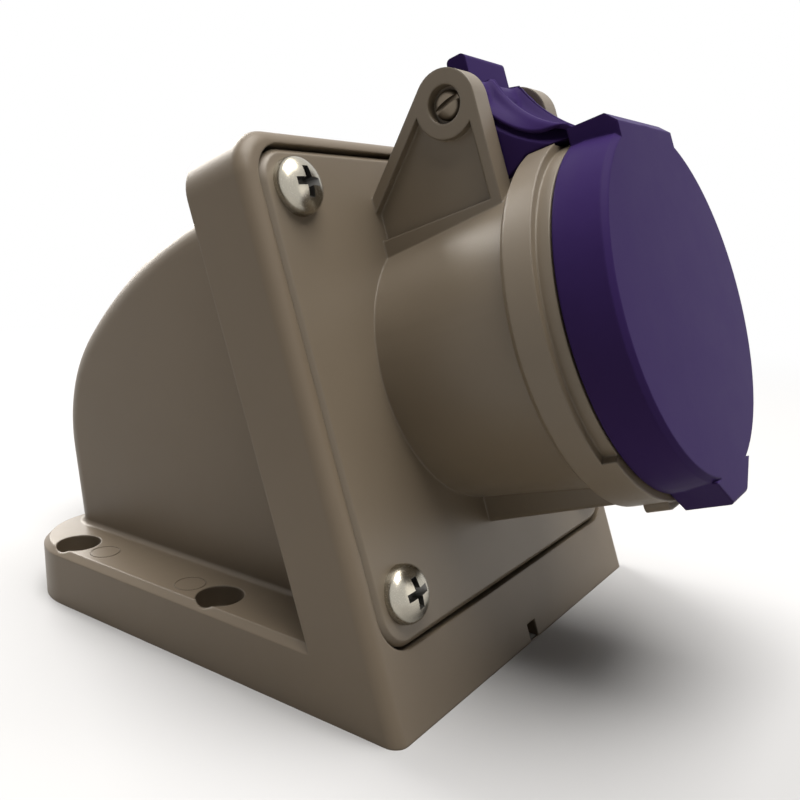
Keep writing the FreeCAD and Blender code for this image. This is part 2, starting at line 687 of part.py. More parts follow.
def make_socket_body():
    """Plate, collar, ring and hinge ears: one moulding, drawn in the face frame."""
    body = new_body("socket_body", in_face_frame=True)
    plate = new_sketch(body, "XY_Plane", PLATE_BACK)
    gap = D["plate_gap"]
    box_outline(plate, gap - RECESS_X, RECESS_LOW + gap, RECESS_X - gap, RECESS_HIGH - gap,
                D["recess_corner"] - gap)
    slab = pad(body, plate, D["plate_thickness"])
    chamfer(body, slab, D["plate_edge"], lambda e: near(middle(e).z, 0))
    turned = new_sketch(body, "XZ_Plane")
    outline(turned, [
        (0, -D["sleeve_depth"]),
        (D["collar_foot"], -D["sleeve_depth"]),
        (D["collar_foot"], PLATE_BACK / 2),
        (D["collar_foot"] + D["collar_root"], PLATE_BACK / 2),
        (D["collar_foot"] + D["collar_root"], 0),
        (D["collar_foot"], D["collar_root"]),
        (D["collar_neck"], D["ring_start"]),
        (D["ring_radius"] - D["ring_edge"], D["ring_start"]),
        (D["ring_radius"], D["ring_start"] + D["ring_edge"]),
        (D["ring_radius"], D["ring_front"]),
        (D["band_radius"], D["ring_front"]),
        (D["band_radius"], D["band_front"]),
        (D["lip_radius"], D["band_front"]),
        (D["lip_radius"], D["lip_front"]),
        (0, D["lip_front"]),
    ])
    revolve(body, turned)
    add_apron(body)
    add_keyway(body)
    add_ears(body)
    bore_collar(body)
    return body


def add_apron(body):
    """Lower sector of the ring, which reaches further forward than the rest, and the catch."""
    apron = new_sketch(body, "XY_Plane", D["ring_front"])
    reach_x = D["ring_radius"] * sine(D["apron_angle"])
    reach_v = -(D["ring_radius"] * cosine(D["apron_angle"]))
    outline(apron, [(0, 0), (-reach_x, reach_v, D["ring_radius"]), (reach_x, reach_v)])
    pad(body, apron, D["band_front"] - D["ring_front"])
    catch = new_sketch(body, "XY_Plane", D["catch_start"])
    box_outline(catch, -D["catch_half"], -D["catch_depth"], D["catch_half"], -D["lip_radius"],
                D["catch_corner"])
    pad(body, catch, D["catch_front"] - D["catch_start"])
    notch = new_sketch(body, "XY_Plane", D["ring_start"] - PAST)
    box_outline(notch, -D["notch_half"], D["notch_floor"], D["notch_half"], D["catch_depth"])
    pocket(body, notch, D["lip_front"] - D["ring_start"])


def add_keyway(body):
    """Rib under the collar that houses the keyway."""
    rib = new_sketch(body, "XY_Plane", PLATE_BACK)
    box_outline(rib, -D["key_half"], -D["key_depth"], D["key_half"], -D["lip_radius"] / 2,
                D["key_corner"])
    pad(body, rib, D["ring_start"] + PAST - PLATE_BACK)


def ear_outline(sketch, inset, foot_w, foot_v):
    """Side of a hinge ear: round top, straight front edge, sloping rear edge down to the plate."""
    radius = D["ear_radius"] - inset
    v, w = D["pivot_v"], D["pivot_w"]
    slope_sin, slope_cos = sine(D["ear_slope"]), cosine(D["ear_slope"])
    touch_v = v + radius * slope_cos
    touch_w = w - radius * slope_sin
    outline(sketch, [
        (touch_v, touch_w),
        (touch_v - (touch_w - foot_w) * slope_sin / slope_cos, foot_w),
        (foot_v, foot_w),
        (foot_v, w + radius),
        (v, w + radius, -radius),
    ])


def add_ears(body):
    """Two hinge ears, each a web with a raised rim and a ring round the pin."""
    inner, outer = D["ear_inner"], D["ear_outer"]
    web_face = outer - D["ear_recess"]
    collar_top = root(D["collar_neck"] * D["collar_neck"] - web_face * web_face)
    for side in (-1, 1):
        ear = new_sketch(body, "YZ_Plane", side * (inner + outer) / 2)
        ear_outline(ear, as_size(0), PLATE_BACK / 2, D["carrier_hole"])
        pad(body, ear, outer - inner, both=True)
    for side in (-1, 1):
        web = new_sketch(body, "YZ_Plane", side * outer)
        ear_outline(web, D["ear_rim"], as_size(0), collar_top)
        pocket(body, web, 2 * D["ear_recess"], both=True)
        ring = new_sketch(body, "YZ_Plane", side * outer)
        circle(ring, D["pivot_v"], D["pivot_w"], D["ear_boss"])
        pad(body, ring, D["ear_recess"] + BITE, back=side > 0)
        seat = new_sketch(body, "YZ_Plane", side * outer)
        circle(seat, D["pivot_v"], D["pivot_w"], D["ear_counterbore"])
        pocket(body, seat, D["ear_counterbore_depth"], back=side > 0)
    pin_hole = new_sketch(body, "YZ_Plane")
    circle(pin_hole, D["pivot_v"], D["pivot_w"], D["pin_radius"])
    pocket(body, pin_hole, 3 * outer, both=True)
    rest = new_sketch(body, "XZ_Plane", D["spring_socket"] - SPRING_REST)
    circle(rest, -SPRING_END, D["pivot_w"] - D["spring_mean"], D["spring_wire"] + D["fit_clearance"])
    pocket(body, rest, 2 * D["spring_socket"], back=True)


def bore_collar(body):
    """Bore with its keyway, hole for the contact carrier and holes for the screws."""
    step = D["carrier_face"] + D["bore_step"]
    bore = new_sketch(body, "XY_Plane", -D["bore_floor"])
    circle(bore, 0, 0, D["bore_radius"] + D["bore_relief"])
    pocket(body, bore, step + D["bore_floor"])
    mouth = new_sketch(body, "XY_Plane", step)
    circle(mouth, 0, 0, D["bore_radius"])
    pocket(body, mouth, D["lip_front"] - step + PAST)
    keyway = new_sketch(body, "XY_Plane", -D["bore_floor"])
    box_outline(keyway, -D["key_slot_half"], -D["key_slot_depth"], D["key_slot_half"], as_size(0))
    pocket(body, keyway, D["catch_start"] + D["bore_floor"] + D["sleeve_depth"])
    opening = new_sketch(body, "XY_Plane", -D["sleeve_depth"])
    circle(opening, 0, 0, D["carrier_hole"])
    pocket(body, opening, D["sleeve_depth"])
    rear_room = new_sketch(body, "XY_Plane", -D["sleeve_depth"])
    circle(rear_room, 0, 0, D["bore_radius"])
    pocket(body, rear_room, D["sleeve_depth"] - D["bore_floor"] - D["floor_thickness"])
    for place_x, row in SCREW_PLACES:
        screw = new_sketch(body, "XY_Plane", PLATE_BACK)
        circle(screw, place_x, row, D["screw_radius"] + D["hole_clearance"])
        pocket(body, screw, D["plate_thickness"] + PAST)
    for side in (-1, 1):
        fixing = new_sketch(body, "XY_Plane", -(D["bore_floor"] + D["floor_thickness"]))
        circle(fixing, side * D["carrier_screw_at"], 0, D["carrier_screw"] + D["thread_clearance"])
        pocket(body, fixing, D["floor_thickness"] - PAST)


def make_lid():
    """Sprung cover: cap, top block, finger tab, hinge arm with its barrel, and thumb lever."""
    body = new_body("lid", in_face_frame=True)
    v, w, rim = D["pivot_v"], D["pivot_w"], D["lid_rim"]
    arm_half = D["ear_inner"] - D["barrel_gap"]
    saddle_foot = w + D["saddle_foot"]
    sweep, rear = D["arm_sweep"], w - D["arm_rear"]
    arm = new_sketch(body, "YZ_Plane")
    under = v - D["arm_foot"]
    slope_end = rim + D["arm_top"] - D["block_top"]
    outline(arm, [
        (v, saddle_foot, -D["saddle_radius"]),
        (D["arm_top"], rim),
        (D["block_top"], slope_end),
        (D["arm_foot"], slope_end),
        (D["arm_foot"], w + root(sweep * sweep - under * under), sweep),
        (v - root(sweep * sweep - D["arm_rear"] * D["arm_rear"]), rear),
        (v, rear),
    ])
    solid = pad(body, arm, 2 * arm_half, both=True)
    chamfer(body, solid, D["arm_round"], lambda e: near(abs(middle(e).x), arm_half)
            and near(e.Length, saddle_length(solid, arm_half)))
    barrel = new_sketch(body, "YZ_Plane")
    circle(barrel, v, w, D["barrel_radius"])
    pad(body, barrel, 2 * arm_half, both=True)
    lever = new_sketch(body, "YZ_Plane")
    box_outline(lever, v, w - D["lever_rear"], v + D["lever_top"], w + D["lever_front"],
                D["lever_edge"])
    pad(body, lever, 2 * D["lever_half"], both=True)
    add_arm_ribs(body)
    add_cap(body)
    hollow_arm(body)
    return body


def add_arm_ribs(body):
    """Two ribs that spread from the barrel down the arm to the corners of the lid's block."""
    v, w, foot = D["pivot_v"], D["pivot_w"], D["rib_foot"]
    spread_sin, spread_cos = sine(D["rib_spread"]), cosine(D["rib_spread"])
    start = w + D["rib_start"]
    inset = D["rib_inset"] - start * spread_sin / spread_cos
    end = D["lid_rim"] + D["lid_top"] / 2
    for side in (-1, 1):
        rib = new_sketch(body, "YZ_Plane", side * inset, lean=side * D["rib_spread"])
        outline(rib, [
            (v + D["barrel_radius"] - BITE, w / spread_cos),
            (v + D["rib_lift"], start / spread_cos, -D["rib_radius"]),
            (foot, D["lid_rim"] / spread_cos),
            (D["block_top"] - BITE, end / spread_cos),
            (D["arm_foot"], end / spread_cos),
            (v, w / spread_cos),
        ])
        pad(body, rib, D["rib_thickness"], both=True)


def saddle_length(solid, arm_half):
    """Length of the arm's long concave edge."""
    side = [e for e in solid.Shape.Edges if near(abs(middle(e).x), arm_half)]
    arcs = [e for e in side if isinstance(e.Curve, Part.Circle)
            and near(e.Curve.Radius, D["saddle_radius"])]
    return arcs[0].Length


def add_cap(body):
    """Round cap with the block above it and the finger tab below, hollow from behind."""
    rim, face = D["lid_rim"], D["lid_face"]
    turned = new_sketch(body, "XZ_Plane")
    edge = D["lid_edge"]
    outline(turned, [
        (0, rim), (D["lid_radius"], rim), (D["lid_radius"], D["lid_belt"]),
        (D["lid_face_radius"], face - edge),
        (D["lid_face_radius"] - edge, face), (0, face),
    ])
    revolve(body, turned)
    block = new_sketch(body, "YZ_Plane")
    outline(block, [
        (0, rim), (D["block_top"], rim), (D["block_top"], face - D["block_chamfer"]),
        (D["block_top"] - D["block_chamfer"], face), (0, face),
    ])
    pad(body, block, 2 * D["block_half"], both=True)
    tab = new_sketch(body, "XY_Plane", rim)
    tab_start = -root(D["lid_face_radius"] * D["lid_face_radius"] - D["tab_root"] * D["tab_root"])
    outline(tab, [
        (-D["tab_root"], tab_start), (-D["tab_tip"], -D["tab_depth"]),
        (D["tab_tip"], -D["tab_depth"]), (D["tab_root"], tab_start),
    ])
    cap = pad(body, tab, face - rim)
    fillet(body, cap, edge, lambda e: near(middle(e).z, face) and near(middle(e).y, -D["tab_depth"]))
    inside = new_sketch(body, "XY_Plane", rim)
    circle(inside, 0, 0, D["lid_radius"] - D["lid_wall"])
    pocket(body, inside, face - rim - D["lid_top"])


def hollow_arm(body):
    """Pin bore, room for the spring, hollow under the arm, and the curve over the collar."""
    v, w = D["pivot_v"], D["pivot_w"]
    arm_half = D["ear_inner"] - D["barrel_gap"]
    under = new_sketch(body, "XY_Plane", w - D["barrel_radius"])
    circle(under, 0, 0, D["collar_neck"] + D["arm_clearance"])
    pocket(body, under, D["ring_start"] - w + D["barrel_radius"])
    inner = D["arm_sweep"] - D["arm_wall"]
    reach = D["arm_hollow"] - w
    ceiling = v - D["barrel_radius"] - D["arm_wall"]
    rear = w - 2 * D["arm_rear"]
    core = new_sketch(body, "YZ_Plane")
    outline(core, [
        (ceiling, rear), (ceiling, D["arm_hollow"]),
        (v - root(inner * inner - reach * reach), D["arm_hollow"], inner),
        (v - inner, w), (v - D["arm_sweep"] - D["arm_wall"], w),
        (v - D["arm_sweep"] - D["arm_wall"], rear),
    ])
    pocket(body, core, 2 * (arm_half - D["arm_wall"]), both=True)
    room = new_sketch(body, "YZ_Plane")
    radius = D["spring_room"]
    circle(room, v, w, radius)
    pocket(body, room, 2 * D["spring_half"], both=True)
    way_out = new_sketch(body, "YZ_Plane")
    box_outline(way_out, v - 2 * radius, w - 2 * radius, v + D["lever_hollow"], w)
    pocket(body, way_out, 2 * D["spring_half"], both=True)
    bore = new_sketch(body, "YZ_Plane")
    circle(bore, v, w, D["pin_radius"] + D["hinge_clearance"])
    pocket(body, bore, 3 * arm_half, both=True)


def make_lid_gasket():
    """Soft ring in the lid that meets the collar's lip."""
    body = new_body("lid_gasket", in_face_frame=True)
    ring = new_sketch(body, "XY_Plane", D["lip_front"])
    circle(ring, 0, 0, D["lid_radius"] - D["lid_wall"] - D["seal_clearance"])
    circle(ring, 0, 0, D["seal_inner"])
    pad(body, ring, D["lid_face"] - D["lid_top"] - D["lip_front"])
    return body


def hinge_body(name):
    """A body whose own origin is on the hinge axis, with the face frame's directions."""
    body = new_body(name)
    v, w = D["pivot_v"], D["pivot_w"]
    move_to(body, 0, AXIS_Y + v * LEAN_SIN - w * LEAN_COS, AXIS_Z + v * LEAN_COS + w * LEAN_SIN,
            FACE_TILT)
    return body


def make_hinge_pin():
    body = hinge_body("hinge_pin")
    seat = D["ear_outer"] - D["ear_counterbore_depth"]
    shaft = new_sketch(body, "YZ_Plane", -seat)
    circle(shaft, 0, 0, D["pin_radius"])
    pad(body, shaft, 2 * seat + D["clip_thickness"] + D["pin_end"])
    head = new_sketch(body, "YZ_Plane", -seat)
    circle(head, 0, 0, D["pin_head_radius"])
    pad(body, head, D["pin_head_height"], back=True)
    slot = new_sketch(body, "YZ_Plane", -seat - D["pin_head_height"])
    half = D["pin_slot"] / 2
    box_outline(slot, -half, -D["ear_radius"], half, D["ear_radius"])
    pocket(body, slot, D["pin_slot"])
    return body


def make_pin_clip():
    """Open ring that holds the pin in the far ear's counterbore."""
    body = hinge_body("pin_clip")
    seat = D["ear_outer"] - D["ear_counterbore_depth"]
    ring = new_sketch(body, "YZ_Plane", seat)
    circle(ring, 0, 0, D["ear_counterbore"] - D["fit_clearance"])
    circle(ring, 0, 0, D["pin_radius"])
    pad(body, ring, D["clip_thickness"])
    gap = new_sketch(body, "YZ_Plane", seat)
    box_outline(gap, -D["ear_radius"], -D["pin_slot"], as_size(0), D["pin_slot"])
    pocket(body, gap, D["clip_thickness"])
    return body


def make_hinge_spring():
    """Torsion spring round the pin: one leg behind the lever, the other in the collar's top.

    Its wire is six-sided, with a round wire's section, and each turn has SPRING_STEPS stretches.
    """
    wire, mean, half = D["spring_wire"].value, D["spring_mean"].value, SPRING_END.value
    count = round(D["spring_coils"].value * SPRING_STEPS)
    route = []
    for step in range(count + 1):
        angle = 2 * math.pi * step / SPRING_STEPS
        route.append(V(2 * half * step / count - half, mean * math.sin(angle), -mean * math.cos(angle)))
    low, high = route[0], route[-1]
    heading = route[1] - low
    across = heading.cross(V(0, 0, 1)).normalize()
    outward = across.cross(heading).normalize()
    reach = wire * math.sqrt(2 * math.pi / (3 * math.sqrt(3)))
    corners = []
    for side in range(7):
        angle = math.pi * side / 3
        corners.append(low + outward * (reach * math.cos(angle)) + across * (reach * math.sin(angle)))
    coil = Part.makePolygon(route).makePipeShell([Part.makePolygon(corners)], True, False, 1)
    drop = D["pivot_v"].value - SPRING_REST.value + D["spring_socket"].value / 2
    legs = [
        Part.makeCylinder(wire, drop + wire, low + V(0, wire, 0), V(0, -1, 0)),
        Part.makeCylinder(wire, D["spring_leg"].value + wire, high - V(0, wire, 0), V(0, 1, 0)),
    ]
    spring = doc.addObject("Part::Feature", "hinge_spring")
    spring.Shape = coil.fuse(legs).removeSplitter()
    v, w = D["pivot_v"], D["pivot_w"]
    move_to(spring, 0, AXIS_Y + v * LEAN_SIN - w * LEAN_COS, AXIS_Z + v * LEAN_COS + w * LEAN_SIN,
            FACE_TILT)
    return spring


def make_panel_gasket():
    """Flat gasket between the plate and its ledge, with eyes for the screws."""
    body = new_body("panel_gasket", in_face_frame=True)
    gap, ledge = D["plate_gap"], D["ledge"]
    ring = new_sketch(body, "XY_Plane", SEAT)
    box_outline(ring, gap - RECESS_X, RECESS_LOW + gap, RECESS_X - gap, RECESS_HIGH - gap,
                D["recess_corner"] - gap)
    box_outline(ring, ledge - RECESS_X, RECESS_LOW + ledge, RECESS_X - ledge, RECESS_HIGH - ledge,
                D["recess_corner"] / 2)
    pad(body, ring, D["gasket_thickness"])
    eyes = new_sketch(body, "XY_Plane", SEAT)
    for x, row in SCREW_PLACES:
        circle(eyes, x, row, D["boss_radius"])
    pad(body, eyes, D["gasket_thickness"])
    holes = new_sketch(body, "XY_Plane", SEAT)
    for x, row in SCREW_PLACES:
        circle(holes, x, row, D["screw_radius"] + D["hole_clearance"])
    pocket(body, holes, D["gasket_thickness"])
    return body


def make_plate_screws():
    """The plate's four screws, each with a slot and a cross recess in its head."""
    body = new_body("plate_screws", in_face_frame=True)
    heads = new_sketch(body, "XY_Plane")
    shanks = new_sketch(body, "XY_Plane")
    for x, row in SCREW_PLACES:
        circle(heads, x, row, D["head_radius"])
        circle(shanks, x, row, D["screw_radius"])
    top = pad(body, heads, D["head_height"])
    chamfer(body, top, D["head_edge"], lambda e: near(middle(e).z, D["head_height"]))
    pad(body, shanks, D["screw_length"], back=True)
    slots = new_sketch(body, "XY_Plane", D["head_height"] - D["slot_depth"])
    crosses = new_sketch(body, "XY_Plane", D["head_height"] - D["slot_depth"])
    half, reach = D["slot_width"] / 2, D["head_radius"]
    for x, row in SCREW_PLACES:
        box_outline(slots, x - reach, row - half, x + reach, row + half)
        box_outline(crosses, x - half, row - reach / 2, x + half, row + reach / 2)
    pocket(body, slots, D["head_height"])
    pocket(body, crosses, D["head_height"])
    return body


def make_inserts():
    body = new_body("threaded_inserts", in_face_frame=True)
    rings = new_sketch(body, "XY_Plane", SEAT)
    for x, row in SCREW_PLACES:
        circle(rings, x, row, D["insert_radius"])
        circle(rings, x, row, D["screw_radius"] + D["thread_clearance"])
    pad(body, rings, D["insert_length"], back=True)
    return body


CARRIER_SEAT = -(D["bore_floor"] + D["floor_thickness"])
CARRIER_REAR = CARRIER_SEAT - D["carrier_flange_thickness"] - D["carrier_tail"]
BACK_REAR = CARRIER_REAR - D["back_depth"]
TERMINAL_W = CARRIER_REAR - D["terminal_depth"] / 2
CONTACT_FRONT = D["carrier_face"] - D["contact_mouth"]
LIVE_X = D["contact_circle"] * sine(D["live_angle"])
LIVE_ROW = D["contact_circle"] * cosine(D["live_angle"])
CONTACTS = [
    ("line_contact", -LIVE_X, LIVE_ROW, D["live_pin"], 1),
    ("neutral_contact", LIVE_X, LIVE_ROW, D["live_pin"], 1),
    ("earth_contact", as_size(0), -D["contact_circle"], D["earth_pin"], -1),
]


def sleeve_radius(pin):
    return pin + D["pin_clearance"] + D["sleeve_wall"]


def make_carrier():
    """Insulating block that holds the three contacts, screwed to the bore's floor from behind."""
    body = new_body("contact_carrier", in_face_frame=True)
    turned = new_sketch(body, "XZ_Plane")
    flange_rear = CARRIER_SEAT - D["carrier_flange_thickness"]
    outline(turned, [
        (0, CARRIER_REAR), (D["carrier_radius"], CARRIER_REAR),
        (D["carrier_radius"], flange_rear), (D["carrier_flange"], flange_rear),
        (D["carrier_flange"], CARRIER_SEAT), (D["carrier_radius"], CARRIER_SEAT),
        (D["carrier_radius"], D["carrier_face"]), (0, D["carrier_face"]),
    ])
    block = revolve(body, turned)
    chamfer(body, block, D["carrier_edge"], lambda e: near(middle(e).z, D["carrier_face"]))
    mouths = new_sketch(body, "XY_Plane", CARRIER_REAR)
    bores = new_sketch(body, "XY_Plane", CARRIER_REAR)
    seats = new_sketch(body, "XY_Plane", CARRIER_REAR)
    for _, x, row, pin, _ in CONTACTS:
        sleeve = sleeve_radius(pin) + D["ring_band"] + D["fit_clearance"]
        circle(mouths, x, row, pin + D["mouth_clearance"])
        circle(bores, x, row, sleeve)
        circle(seats, x, row, sleeve + D["contact_collar"])
    pocket(body, bores, CONTACT_FRONT - CARRIER_REAR)
    pocket(body, mouths, D["carrier_face"] - CARRIER_REAR + PAST)
    pocket(body, seats, D["contact_collar"])
    fixings = new_sketch(body, "XY_Plane", flange_rear)
    for side in (-1, 1):
        circle(fixings, side * D["carrier_screw_at"], 0, D["carrier_screw"] + D["hole_clearance"])
    pocket(body, fixings, D["carrier_flange_thickness"] + PAST)
    centre = new_sketch(body, "XY_Plane", CARRIER_REAR)
    circle(centre, 0, 0, D["back_screw"] + D["thread_clearance"])
    pocket(body, centre, D["back_depth"])
    return body


def make_carrier_back():
    """Second half of the carrier, which traps the contacts' collars and holds the terminals."""
    body = new_body("carrier_back", in_face_frame=True)
    disc = new_sketch(body, "XY_Plane", BACK_REAR)
    circle(disc, 0, 0, D["carrier_radius"])
    pad(body, disc, D["back_depth"])
    bores = new_sketch(body, "XY_Plane", BACK_REAR)
    for _, x, row, pin, _ in CONTACTS:
        circle(bores, x, row, sleeve_radius(pin) + D["fit_clearance"])
    circle(bores, 0, 0, D["back_screw"] + D["hole_clearance"])
    pocket(body, bores, D["back_depth"])
    for _, x, row, _, up in CONTACTS:
        access = new_sketch(body, "XZ_Plane", -row)
        circle(access, x, TERMINAL_W, D["terminal_head"] + D["hole_clearance"])
        pocket(body, access, 2 * D["carrier_radius"], back=up > 0)
    return body


def make_contact(name, x, row, pin, up):
    """Split sleeve for a plug's pin, with a trapped collar and a screw terminal behind it."""
    body = new_body(name, in_face_frame=True)
    outside = sleeve_radius(pin)
    rod = new_sketch(body, "XY_Plane", CARRIER_REAR - D["terminal_depth"])
    circle(rod, x, row, outside)
    pad(body, rod, CONTACT_FRONT - CARRIER_REAR + D["terminal_depth"])
    collar = new_sketch(body, "XY_Plane", CARRIER_REAR)
    circle(collar, x, row, outside + D["ring_band"] + D["contact_collar"])
    pad(body, collar, D["contact_collar"])
    bore = new_sketch(body, "XY_Plane", CARRIER_REAR + 2 * D["contact_collar"])
    circle(bore, x, row, pin + D["pin_clearance"])
    pocket(body, bore, CONTACT_FRONT - CARRIER_REAR)
    half = D["sleeve_slit"] / 2
    for across, along in ((outside, half), (half, outside)):
        slit = new_sketch(body, "XY_Plane", CONTACT_FRONT - D["slit_length"])
        box_outline(slit, x - across, row - along, x + across, row + along)
        pocket(body, slit, D["slit_length"])
    entry = new_sketch(body, "XY_Plane", CARRIER_REAR - D["terminal_depth"])
    circle(entry, x, row, D["wire_bore"])
    pocket(body, entry, D["terminal_depth"] - D["contact_collar"])
    thread = new_sketch(body, "XZ_Plane", -row)
    circle(thread, x, TERMINAL_W, D["terminal_screw"] + D["thread_clearance"])
    pocket(body, thread, 2 * outside, back=up > 0)
    return body


def make_terminal_screws():
    body = new_body("terminal_screws", in_face_frame=True)
    for _, x, row, pin, up in CONTACTS:
        tip = row + up * (D["wire_bore"] / 2)
        shank = new_sketch(body, "XZ_Plane", -tip)
        circle(shank, x, TERMINAL_W, D["terminal_screw"])
        length = sleeve_radius(pin) - D["wire_bore"] / 2 + D["terminal_head"]
        pad(body, shank, length, back=up > 0)
        crown = new_sketch(body, "XZ_Plane", -(tip + up * length))
        circle(crown, x, TERMINAL_W, D["terminal_head"])
        pad(body, crown, D["terminal_screw"], back=up > 0)
    return body


def make_sleeve_rings():
    """Spring band round the mouth of each sleeve."""
    body = new_body("sleeve_rings", in_face_frame=True)
    bands = new_sketch(body, "XY_Plane", CONTACT_FRONT - D["slit_length"] / 4)
    for _, x, row, pin, _ in CONTACTS:
        circle(bands, x, row, sleeve_radius(pin) + D["ring_band"])
        circle(bands, x, row, sleeve_radius(pin))
    pad(body, bands, D["ring_band"])
    return body


def headed_screws(name, places, seat, radius, length, head):
    """Screws that go forward into the carrier from behind, heads on the seat's level."""
    body = new_body(name, in_face_frame=True)
    shanks = new_sketch(body, "XY_Plane", seat)
    heads = new_sketch(body, "XY_Plane", seat)
    for x in places:
        circle(shanks, x, 0, radius)
        circle(heads, x, 0, head)
    pad(body, shanks, length)
    pad(body, heads, radius, back=True)
    return body


def gland_piece(name):
    """A body in the gland's frame: origin on the box's seat, its axis out along +Y."""
    body = new_body(name)
    move_to(body, 0, D["gland_face"], D["gland_z"], as_size(-90))
    return body


def hexagon(sketch, flats):
    """Regular hexagon about the origin, flats to the left and right."""
    corner = flats / root(as_size(3))
    half = flats / 2
    outline(sketch, [
        (half, -corner / 2), (half, corner / 2), (0, corner),
        (-half, corner / 2), (-half, -corner / 2), (0, -corner),
    ])


HEX_START = D["washer_thickness"]
HEX_END = HEX_START + D["gland_hexagon"]
GLAND_TIP = HEX_END + D["gland_outside"]


def make_gland_washer():
    body = gland_piece("gland_washer")
    ring = new_sketch(body, "XY_Plane")
    circle(ring, 0, 0, D["gland_flats"] / 2)
    circle(ring, 0, 0, D["gland_radius"] + D["fit_clearance"])
    pad(body, ring, D["washer_thickness"])
    return body


def make_gland_body():
    body = gland_piece("gland_body")
    stem = new_sketch(body, "XY_Plane", -D["gland_inside"])
    circle(stem, 0, 0, D["gland_radius"])
    pad(body, stem, D["gland_inside"] + GLAND_TIP)
    nut = new_sketch(body, "XY_Plane", HEX_START)
    hexagon(nut, D["gland_flats"])
    pad(body, nut, D["gland_hexagon"])
    bore = new_sketch(body, "XY_Plane", -D["gland_inside"])
    circle(bore, 0, 0, D["gland_bore"])
    pocket(body, bore, D["gland_inside"] + GLAND_TIP + PAST)
    return body


def make_gland_seal():
    body = gland_piece("gland_seal")
    ring = new_sketch(body, "XY_Plane", GLAND_TIP - D["seal_length"])
    circle(ring, 0, 0, D["gland_bore"] - D["fit_clearance"])
    circle(ring, 0, 0, D["cable_radius"])
    pad(body, ring, D["seal_length"])
    return body


def make_gland_nut():
    """Dome nut of the gland: hexagon, then a dome with the cable's opening."""
    body = gland_piece("gland_nut")
    start = HEX_END + D["fit_clearance"]
    length = D["gland_nut_length"]
    side = new_sketch(body, "XY_Plane", start)
    hexagon(side, D["gland_flats"])
    pad(body, side, length / 2)
    dome = new_sketch(body, "XY_Plane", start)
    circle(dome, 0, 0, D["gland_flats"] / 2)
    round_end = pad(body, dome, length)
    chamfer(body, round_end, D["dome_edge"], lambda e: near(middle(e).z, start + length))
    thread = new_sketch(body, "XY_Plane", start)
    circle(thread, 0, 0, D["gland_radius"] + D["thread_clearance"])
    pocket(body, thread, GLAND_TIP - start + D["fit_clearance"])
    opening = new_sketch(body, "XY_Plane", start)
    circle(opening, 0, 0, D["gland_nut_bore"])
    pocket(body, opening, length + PAST)
    return body


def make_gland_locknut():
    body = gland_piece("gland_locknut")
    boss_length = D["gland_face"] - D["hood_foot"] + D["wall"]
    ring = new_sketch(body, "XY_Plane", -boss_length)
    hexagon(ring, D["gland_flats"])
    pad(body, ring, D["locknut_thickness"], back=True)
    thread = new_sketch(body, "XY_Plane", -boss_length)
    circle(thread, 0, 0, D["gland_radius"] + D["thread_clearance"])
    pocket(body, thread, D["locknut_thickness"], back=True)
    return body


def make_contact_screws():
    flange_rear = CARRIER_SEAT - D["carrier_flange_thickness"]
    at = D["carrier_screw_at"]
    length = D["carrier_flange_thickness"] + D["floor_thickness"] / 2
    fixing = headed_screws("carrier_screws", [-at, at], flange_rear, D["carrier_screw"], length,
                           D["terminal_head"])
    length = D["back_depth"] + D["carrier_tail"] + D["carrier_flange_thickness"]
    centre = headed_screws("back_screw", [0], BACK_REAR, D["back_screw"], length, D["back_head"])
    return [fixing, centre]


NODES = [
    make_box(), make_socket_body(), make_lid(), make_lid_gasket(), make_hinge_pin(), make_pin_clip(),
    make_hinge_spring(), make_panel_gasket(), make_plate_screws(), make_inserts(), make_carrier(),
    make_carrier_back(), *[make_contact(*contact) for contact in CONTACTS], make_terminal_screws(),
    make_sleeve_rings(), *make_contact_screws(), make_gland_washer(), make_gland_body(),
    make_gland_seal(), make_gland_nut(), make_gland_locknut(),
]
doc.recompute()

for item in doc.Objects:
    if "Invalid" in item.State or "Error" in item.State:
        raise ValueError(f"{item.Name}: {item.State}")
for node in NODES:
    if node.Shape.isNull() or not node.Shape.isValid() or not node.Shape.Solids:
        raise ValueError(f"{node.Label}: no valid shape")

os.makedirs("parts", exist_ok=True)
for node in NODES:
    node.Shape.exportStep(f"parts/{node.Label}.step")
    print(node.Label, len(node.Shape.Solids), round(node.Shape.Volume, 1))
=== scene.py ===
# %% [markdown]
# # Angled industrial socket
#
# The object is a wall socket for a heavy round plug. A wedge-shaped box lies on its wall side, its
# slanted front carries a plate with a round collar, and a sprung blue cover closes the collar.
# The measured solids come first, as a fixed frame. Every later cell dresses one part of them.

# %% Load the solids
import json
import math

import bmesh
import bpy
from mathutils import Matrix, Vector


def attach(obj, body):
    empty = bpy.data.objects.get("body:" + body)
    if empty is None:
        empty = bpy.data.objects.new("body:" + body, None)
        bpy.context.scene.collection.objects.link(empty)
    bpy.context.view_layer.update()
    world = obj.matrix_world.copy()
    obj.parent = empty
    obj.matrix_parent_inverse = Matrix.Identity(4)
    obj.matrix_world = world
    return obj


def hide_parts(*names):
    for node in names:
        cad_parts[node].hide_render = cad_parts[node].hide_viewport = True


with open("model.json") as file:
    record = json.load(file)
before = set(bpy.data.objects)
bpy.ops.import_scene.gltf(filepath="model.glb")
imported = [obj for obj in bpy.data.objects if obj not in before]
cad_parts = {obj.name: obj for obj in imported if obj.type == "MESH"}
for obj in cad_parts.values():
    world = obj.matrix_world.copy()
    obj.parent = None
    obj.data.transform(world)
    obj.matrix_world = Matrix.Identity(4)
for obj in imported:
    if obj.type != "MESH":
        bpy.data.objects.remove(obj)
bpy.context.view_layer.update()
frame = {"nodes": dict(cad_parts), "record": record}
solids = frame["nodes"]
scene = bpy.context.scene
print("pieces in the frame:", len(solids))

